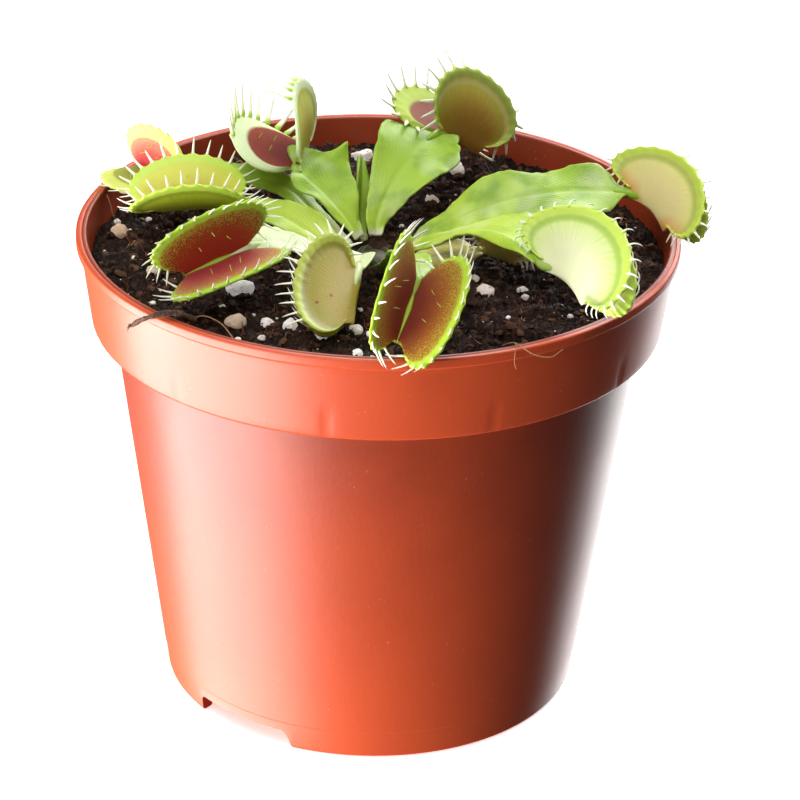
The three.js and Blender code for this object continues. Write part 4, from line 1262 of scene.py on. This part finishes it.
# %% Build a trap
def add_trap(bm, layers, leaf, thickness):
    """Both lobes and the midrib as one closed skin."""
    axes = trap_frame(leaf)
    across = axes[2]
    reaches = [0.5 - 0.5 * math.cos(math.pi * k / LOBE_CELLS) for k in range(LOBE_CELLS + 1)]
    reaches = [0.55 * a + 0.45 * k / LOBE_CELLS for k, a in enumerate(reaches)]
    loop = [(1, a, 1.0, 0.0) for a in reversed(reaches)] + [(-1, a, 1.0, 0.0) for a in reaches[1:]]
    turn_steps = [math.pi * k / (MARGIN_CELLS + 1) for k in range(1, MARGIN_CELLS + 1)]
    loop += [(-1, 1.0, math.cos(angle), math.sin(angle)) for angle in turn_steps]
    loop += [(-1, a, -1.0, 0.0) for a in reversed(reaches)] + [(1, a, -1.0, 0.0) for a in reaches[1:]]
    loop += [(1, 1.0, -math.cos(angle), math.sin(angle)) for angle in turn_steps]
    loop.append(loop[0])
    places = tooth_places(leaf)

    def rule(row, column):
        sign, reach, height, out = loop[column]
        t = 2 * row / (LOBE_ROWS - 1) - 1
        x_margin, y_margin = margin_point(leaf, t)
        near = min(abs(t - place) for place in places) * leaf.get("teeth", TEETH) / 0.92
        point_under_tooth = 0.38 * max(0.0, 1 - near) ** 1.5 * reach ** 10
        foot_x = leaf["half"] * MIDRIB_SHARE * t * abs(t)
        x = foot_x + (x_margin - foot_x) * reach
        y = y_margin * reach
        grow = 1 + point_under_tooth / math.hypot(x_margin, y_margin)
        grow *= trim_at(leaf, sign, t, reach)
        x, y = x * grow, y * grow
        point, inwards, up, foot = lobe_point(leaf, axes, sign, x, y)
        by_rib = math.exp(-((y / 0.9) ** 2))
        normal = inwards.lerp(up, by_rib).normalized()
        rim = math.exp(-(((reach - 0.97) / 0.05) ** 2))
        thick = thickness * (1 - 0.3 * reach + 0.18 * rim) * (1 - abs(t) ** 30 * 0.999)
        keel = 0.55 * by_rib if height < 0 else 0.1 * by_rib
        if row in (0, LOBE_ROWS - 1):
            thick, keel = 0.0, 0.0
        place = point + normal * (height * (thick / 2 + keel)) - inwards * flare_at(leaf, reach)
        if out:
            further = lobe_point(leaf, axes, sign, x * 1.02, y * 1.02)[0]
            place += (further - point).normalized() * (out * thick / 2)
        if height > 0:
            aside = (place - foot).dot(across) * sign
            if aside < 0:
                place -= across * (sign * aside)
        return place, {
            "reach": reach, "along": t, "inner": 0.5 + 0.5 * height, "lobe": 0.5 + 0.5 * sign, "tone": 0.5,
        }

    return rolled_grid(bm, layers, LOBE_ROWS, len(loop), rule)


# %% [markdown]
# ## Teeth and trigger hairs
#
# Each tooth is a flattened rod that starts inside the margin, goes on in the lobe's own curve and bends
# over the mouth. Its root is broad and its tip fine. Three short hairs stand on the inside of each lobe: a
# fly that touches two of them shuts the trap.

# %% Build the teeth
TOOTH_STEPS = 8
NECK_STEPS = 18
TOOTH_WIDTHS = (0.0, 0.27, 0.225, 0.19, 0.17, 0.15, 0.125, 0.09, 0.0)
HAIR_PLACES = ((-0.25, 0.42), (0.25, 0.42), (0.0, 0.62))
tooth_draw = random.Random(5)


def boldness(length):
    """How much thicker than the common widths a tooth of this length is."""
    if length > 5:
        return 2.0
    if length > 3.4:
        return 1.6
    return 0.9 if length < 2.3 else 1.0


def add_tooth(bm, layers, leaf, axes, sign, t):
    """One tooth of a margin, at t."""
    x, y = (value * trim_at(leaf, sign, t, 1) for value in margin_point(leaf, t))
    next_x, next_y = margin_point(leaf, t + 0.02)
    out = Vector((-(next_y - y), next_x - x)).normalized()
    root, inwards, _, _ = lobe_point(leaf, axes, sign, x - out.x * 0.35, y - out.y * 0.35)
    edge = lobe_point(leaf, axes, sign, x + out.x * 0.3, y + out.y * 0.3)[0]
    root, edge = root - inwards * flare_at(leaf, 0.96), edge - inwards * flare_at(leaf, 1.0)
    ahead = (edge - root).normalized()
    here = lobe_point(leaf, axes, sign, x, y)[0]
    tangent = (lobe_point(leaf, axes, sign, next_x, next_y)[0] - here).normalized()
    inward = (ahead.cross(tangent) * sign).normalized()
    size = leaf["tooth"] * (0.72 + 0.28 * math.cos(t * 1.4)) * tooth_draw.uniform(0.85, 1.08) + 0.5
    sway = tooth_draw.uniform(-0.1, 0.1)
    lean = math.radians(leaf["lean"] - leaf["curl"] * 0.5 + tooth_draw.uniform(-6, 6))
    centres = [root]
    for k in range(TOOTH_STEPS):
        angle = lean + math.radians(leaf["curl"]) * (k / (TOOTH_STEPS - 1))
        way = ahead * math.cos(angle) + inward * math.sin(angle) + tangent * sway
        centres.append(centres[-1] + way.normalized() * (size * 1.08 / TOOTH_STEPS))
    radii = [width * boldness(leaf["tooth"]) for width in TOOTH_WIDTHS]
    rod(bm, layers, centres, radii, sides=6, flat=0.62, across=tangent)


def add_hair(bm, layers, leaf, axes, sign, x_share, y_share):
    """One trigger hair."""
    point, inwards, _, _ = lobe_point(leaf, axes, sign, leaf["half"] * x_share, leaf["depth"] * y_share)
    centres = [point + inwards * (0.2 + 1.3 * k / 4) + axes[0] * (0.04 * k * k * x_share) for k in range(5)]
    rod(bm, layers, centres, [0.0, 0.07, 0.055, 0.04, 0.0], sides=5, numbers={"reach": 0.0})


def add_neck(bm, layers, leaf, dry):
    """The round neck between blade and trap, with both ends inside them."""
    axes = trap_frame(leaf)
    base = Vector(leaf["base"])
    route = [path_point(leaf["path"], share) for share in (0.86, 0.94, 1.0)]
    route += [base + axes[0] * further for further in (0.0, 1.0, 2.2, 3.4)]
    shares = [k / NECK_STEPS for k in range(NECK_STEPS + 1)]
    smooth = [path_point(route, share) for share in shares]
    thick = 0.55 if dry else 0.82
    radii = [thick * math.sin(math.pi * min(1, 0.02 + 0.96 * share)) ** 0.45 for share in shares]
    radii[0] = radii[-1] = 0.0
    numbers = {"along": 0.97, "inner": 1.0, "tone": 0.2}
    return rod(bm, layers, smooth, radii, sides=14, flat=0.9, numbers=numbers)


# %% Grow every leaf
BLADE_SKINS = {  # of the leaves that aren't fresh green
    "leaf_front_right": lime_blade, "leaf_left": lime_blade, "leaf_near_left": sheen_pale_blade,
    "leaf_front_left": sheen_pale_blade, "leaf_withered": dry_blade,
}
for name, leaf in LEAVES.items():
    dry = leaf.get("dry", False)
    bm, layers = new_form()
    add_blade(bm, layers, leaf, BLADE_THICKNESS)
    if "base" in leaf:
        add_neck(bm, layers, leaf, dry)
    points = [Vector(point) for point in leaf["path"]]
    add_blade_map(bm, layers, sum((b - a).length for a, b in zip(points, points[1:])))
    finish_piece(name + "_blade", bm, name, [BLADE_SKINS.get(name, fresh_blade)])
    if "base" not in leaf:
        continue
    axes = trap_frame(leaf)
    bm, layers = new_form()
    add_trap(bm, layers, leaf, LOBE_THICKNESS * (0.7 if dry else 1))
    finish_piece(name + "_trap", bm, name, [TRAP_SKINS[name]])
    bm, layers = new_form()
    for sign in (1, -1):
        for t in tooth_places(leaf):
            add_tooth(bm, layers, leaf, axes, sign, t)
        for x_share, y_share in HAIR_PLACES:
            add_hair(bm, layers, leaf, axes, sign, x_share, y_share)
    finish_piece(name + "_teeth", bm, name, [dry_tooth if dry else cream_tooth], welded=0.001)

# %% [markdown]
# ## The crown
#
# All leaves come out of a short pale stem, wrapped in the bases of older leaves. Only its top shows, as
# small overlapping scales, so a turned core carries two rings of them. They are painted dark brown: the
# shade that the leaves cast on them.

# %% Mix and build the crown
heart = Finish("crown_scales")
# These dark browns are painted shade: the pale stem lies in the shadow of the leaves over it.
shaded_heart_tone = heart.mix(heart.ease(heart.attribute("reach"), 0.1, 0.9), paint(52, 42, 28), paint(70, 76, 36))
shaded_heart_tone = heart.mix(heart.ease(heart.grain(0.5, 3), 0.5, 0.7) * 0.5, shaded_heart_tone, paint(44, 26, 20))
crown_scales = heart.surface(
    Base_Color=shaded_heart_tone, Roughness=0.45, Normal=heart.bump(heart.grain(2.5, 3), 0.1),
    Subsurface_Weight=0.1, Subsurface_Scale=0.001,
)
CROWN_MIDDLE = Vector((CROWN_X, CROWN_Y, 0))
CROWN_OUTLINE = [(0, 58), (2.2, 58), (3.2, 61), (3.3, 68.4), (2.6, 69.6), (1.4, 70.2), (0, 70.4)]
CROWN_SIDES = 32
SCALE_FOOT = 68.2
SCALE_RADII = [0.0, 1.35, 1.45, 1.35, 1.15, 0.85, 0.5, 0.0]
SCALE_STEPS = len(SCALE_RADII) - 1
bm, layers = new_form()


def crown_core(row, column):
    radius, height = CROWN_OUTLINE[row]
    angle = 2 * math.pi * column / CROWN_SIDES
    swell = 1 + 0.06 * math.sin(5 * angle)
    ring = Vector((math.cos(angle), math.sin(angle), 0)) * (radius * swell)
    return CROWN_MIDDLE + ring + Vector((0, 0, height)), {"reach": 0.3}


rolled_grid(bm, layers, len(CROWN_OUTLINE), CROWN_SIDES + 1, crown_core)
for ring, (count, radius, top) in enumerate(((7, 3.0, 1.8), (5, 1.9, 2.4))):
    for k in range(count):
        angle = 2 * math.pi * (k + 0.4 * ring) / count + 0.3
        outward = Vector((math.cos(angle), math.sin(angle), 0))
        sideways = Vector((-math.sin(angle), math.cos(angle), 0))
        centres = []
        for step in range(SCALE_STEPS + 1):
            bulge = radius + 0.5 * math.sin(2.2 * step / SCALE_STEPS)
            height = Vector((0, 0, SCALE_FOOT + top * step / SCALE_STEPS))
            centres.append(CROWN_MIDDLE + outward * bulge + height)
        rod(bm, layers, centres, SCALE_RADII, sides=12, flat=0.32, across=sideways)
finish_piece("crown_scales", bm, "crown", [crown_scales])

# %% [markdown]
# ## Twig and stray roots
#
# A dark twig lies over the front-left rim with its splintered end out, and loose roots hang over the rim.
# Each is a rod along the route that the CAD twig takes, or along a free line that rests on soil and
# plastic.

# %% Mix the bark and lay the twig
bark = Finish("twig_bark")
furrows = bark.grain(1.8, 5, 0.7)
twig_bark = bark.surface(
    Base_Color=bark.mix(bark.ease(furrows, 0.35, 0.7), paint(48, 32, 24), paint(122, 88, 64)),
    Roughness=0.8,
    Normal=bark.bump(furrows, 0.3),
)
TWIG_ROUTE = [(-35.0, -31.2, 70.6), (-32.6, -33.8, 73.2), (-28.9, -33.2, 73.9), (-25.6, -30.6, 71.5)]
TWIG_STEPS = 40
SPLINTERS = [  # the step of the twig that it leaves, its end and its thickness
    (2, (-35.6, -30.4, 70.2), 0.16), (3, (-35.4, -32.3, 70.6), 0.13), (30, (-27.2, -30.2, 72.9), 0.15),
]
bm, layers = new_form()
twig_line = [path_point(TWIG_ROUTE, k / TWIG_STEPS) for k in range(TWIG_STEPS + 1)]
twig_radii = [0.42 * (1 + 0.35 * noise.noise(point * 1.3)) * (0.75 + 0.5 * k / TWIG_STEPS)
              for k, point in enumerate(twig_line)]
twig_radii[0], twig_radii[1], twig_radii[-1] = 0.0, 0.2, 0.0
rod(bm, layers, twig_line, twig_radii, sides=12)
for start, end, thick in SPLINTERS:
    first = twig_line[start]
    centres = [first.lerp(Vector(end), k / 5) + Vector((0, 0, 0.25 * math.sin(k))) for k in range(6)]
    rod(bm, layers, centres, [0.0, thick, thick, thick * 0.8, thick * 0.5, 0.0], sides=6)
finish_piece("rim_twig", bm, "twig", [twig_bark])

# %% Lay the stray roots
STRAY_ROOTS = [  # the line, thickness and tone
    ([(-27, -31.2, 71.2), (-25.0, -30.5, 72.2), (-22.3, -31.6, 71.8), (-20.2, -34.2, 70.6),
      (-19.2, -35.6, 69.9)], 0.2, 0.9),
    ([(17.5, -36.5, 71.4), (19.2, -38.4, 72.9), (20.3, -39.9, 73.0), (21.8, -40.2, 72.1), (24.5, -38.8, 71.0),
      (26.3, -37.3, 71.6)], 0.17, 0.95),
    ([(19.3, -38.4, 72.9), (19.5, -40.0, 73.1), (19.3, -41.2, 71.3), (19.6, -41.0, 70.0)], 0.14, 0.9),
    ([(33.6, 2.5, 69.4), (34.0, 2.0, 71.5), (34.8, 1.6, 73.6)], 0.22, 0.75),
    ([(-40.2, 9.6, 69.2), (-40.6, 10.0, 71.0), (-41.3, 10.8, 72.6)], 0.22, 0.8),
    ([(-38.8, 11.0, 69.2), (-38.4, 11.6, 71.2), (-38.0, 12.4, 73.0)], 0.18, 0.7),
]
bm, layers = new_form()
for line, thick, tone in STRAY_ROOTS:
    steps = 5 * len(line)
    centres = [path_point(line, k / steps) for k in range(steps + 1)]
    radii = [0.0] + [thick / 2] * (steps - 1) + [0.0]
    rod(bm, layers, centres, radii, sides=6, numbers={"tone": tone})
finish_piece("stray_roots", bm, None, [root_shreds])
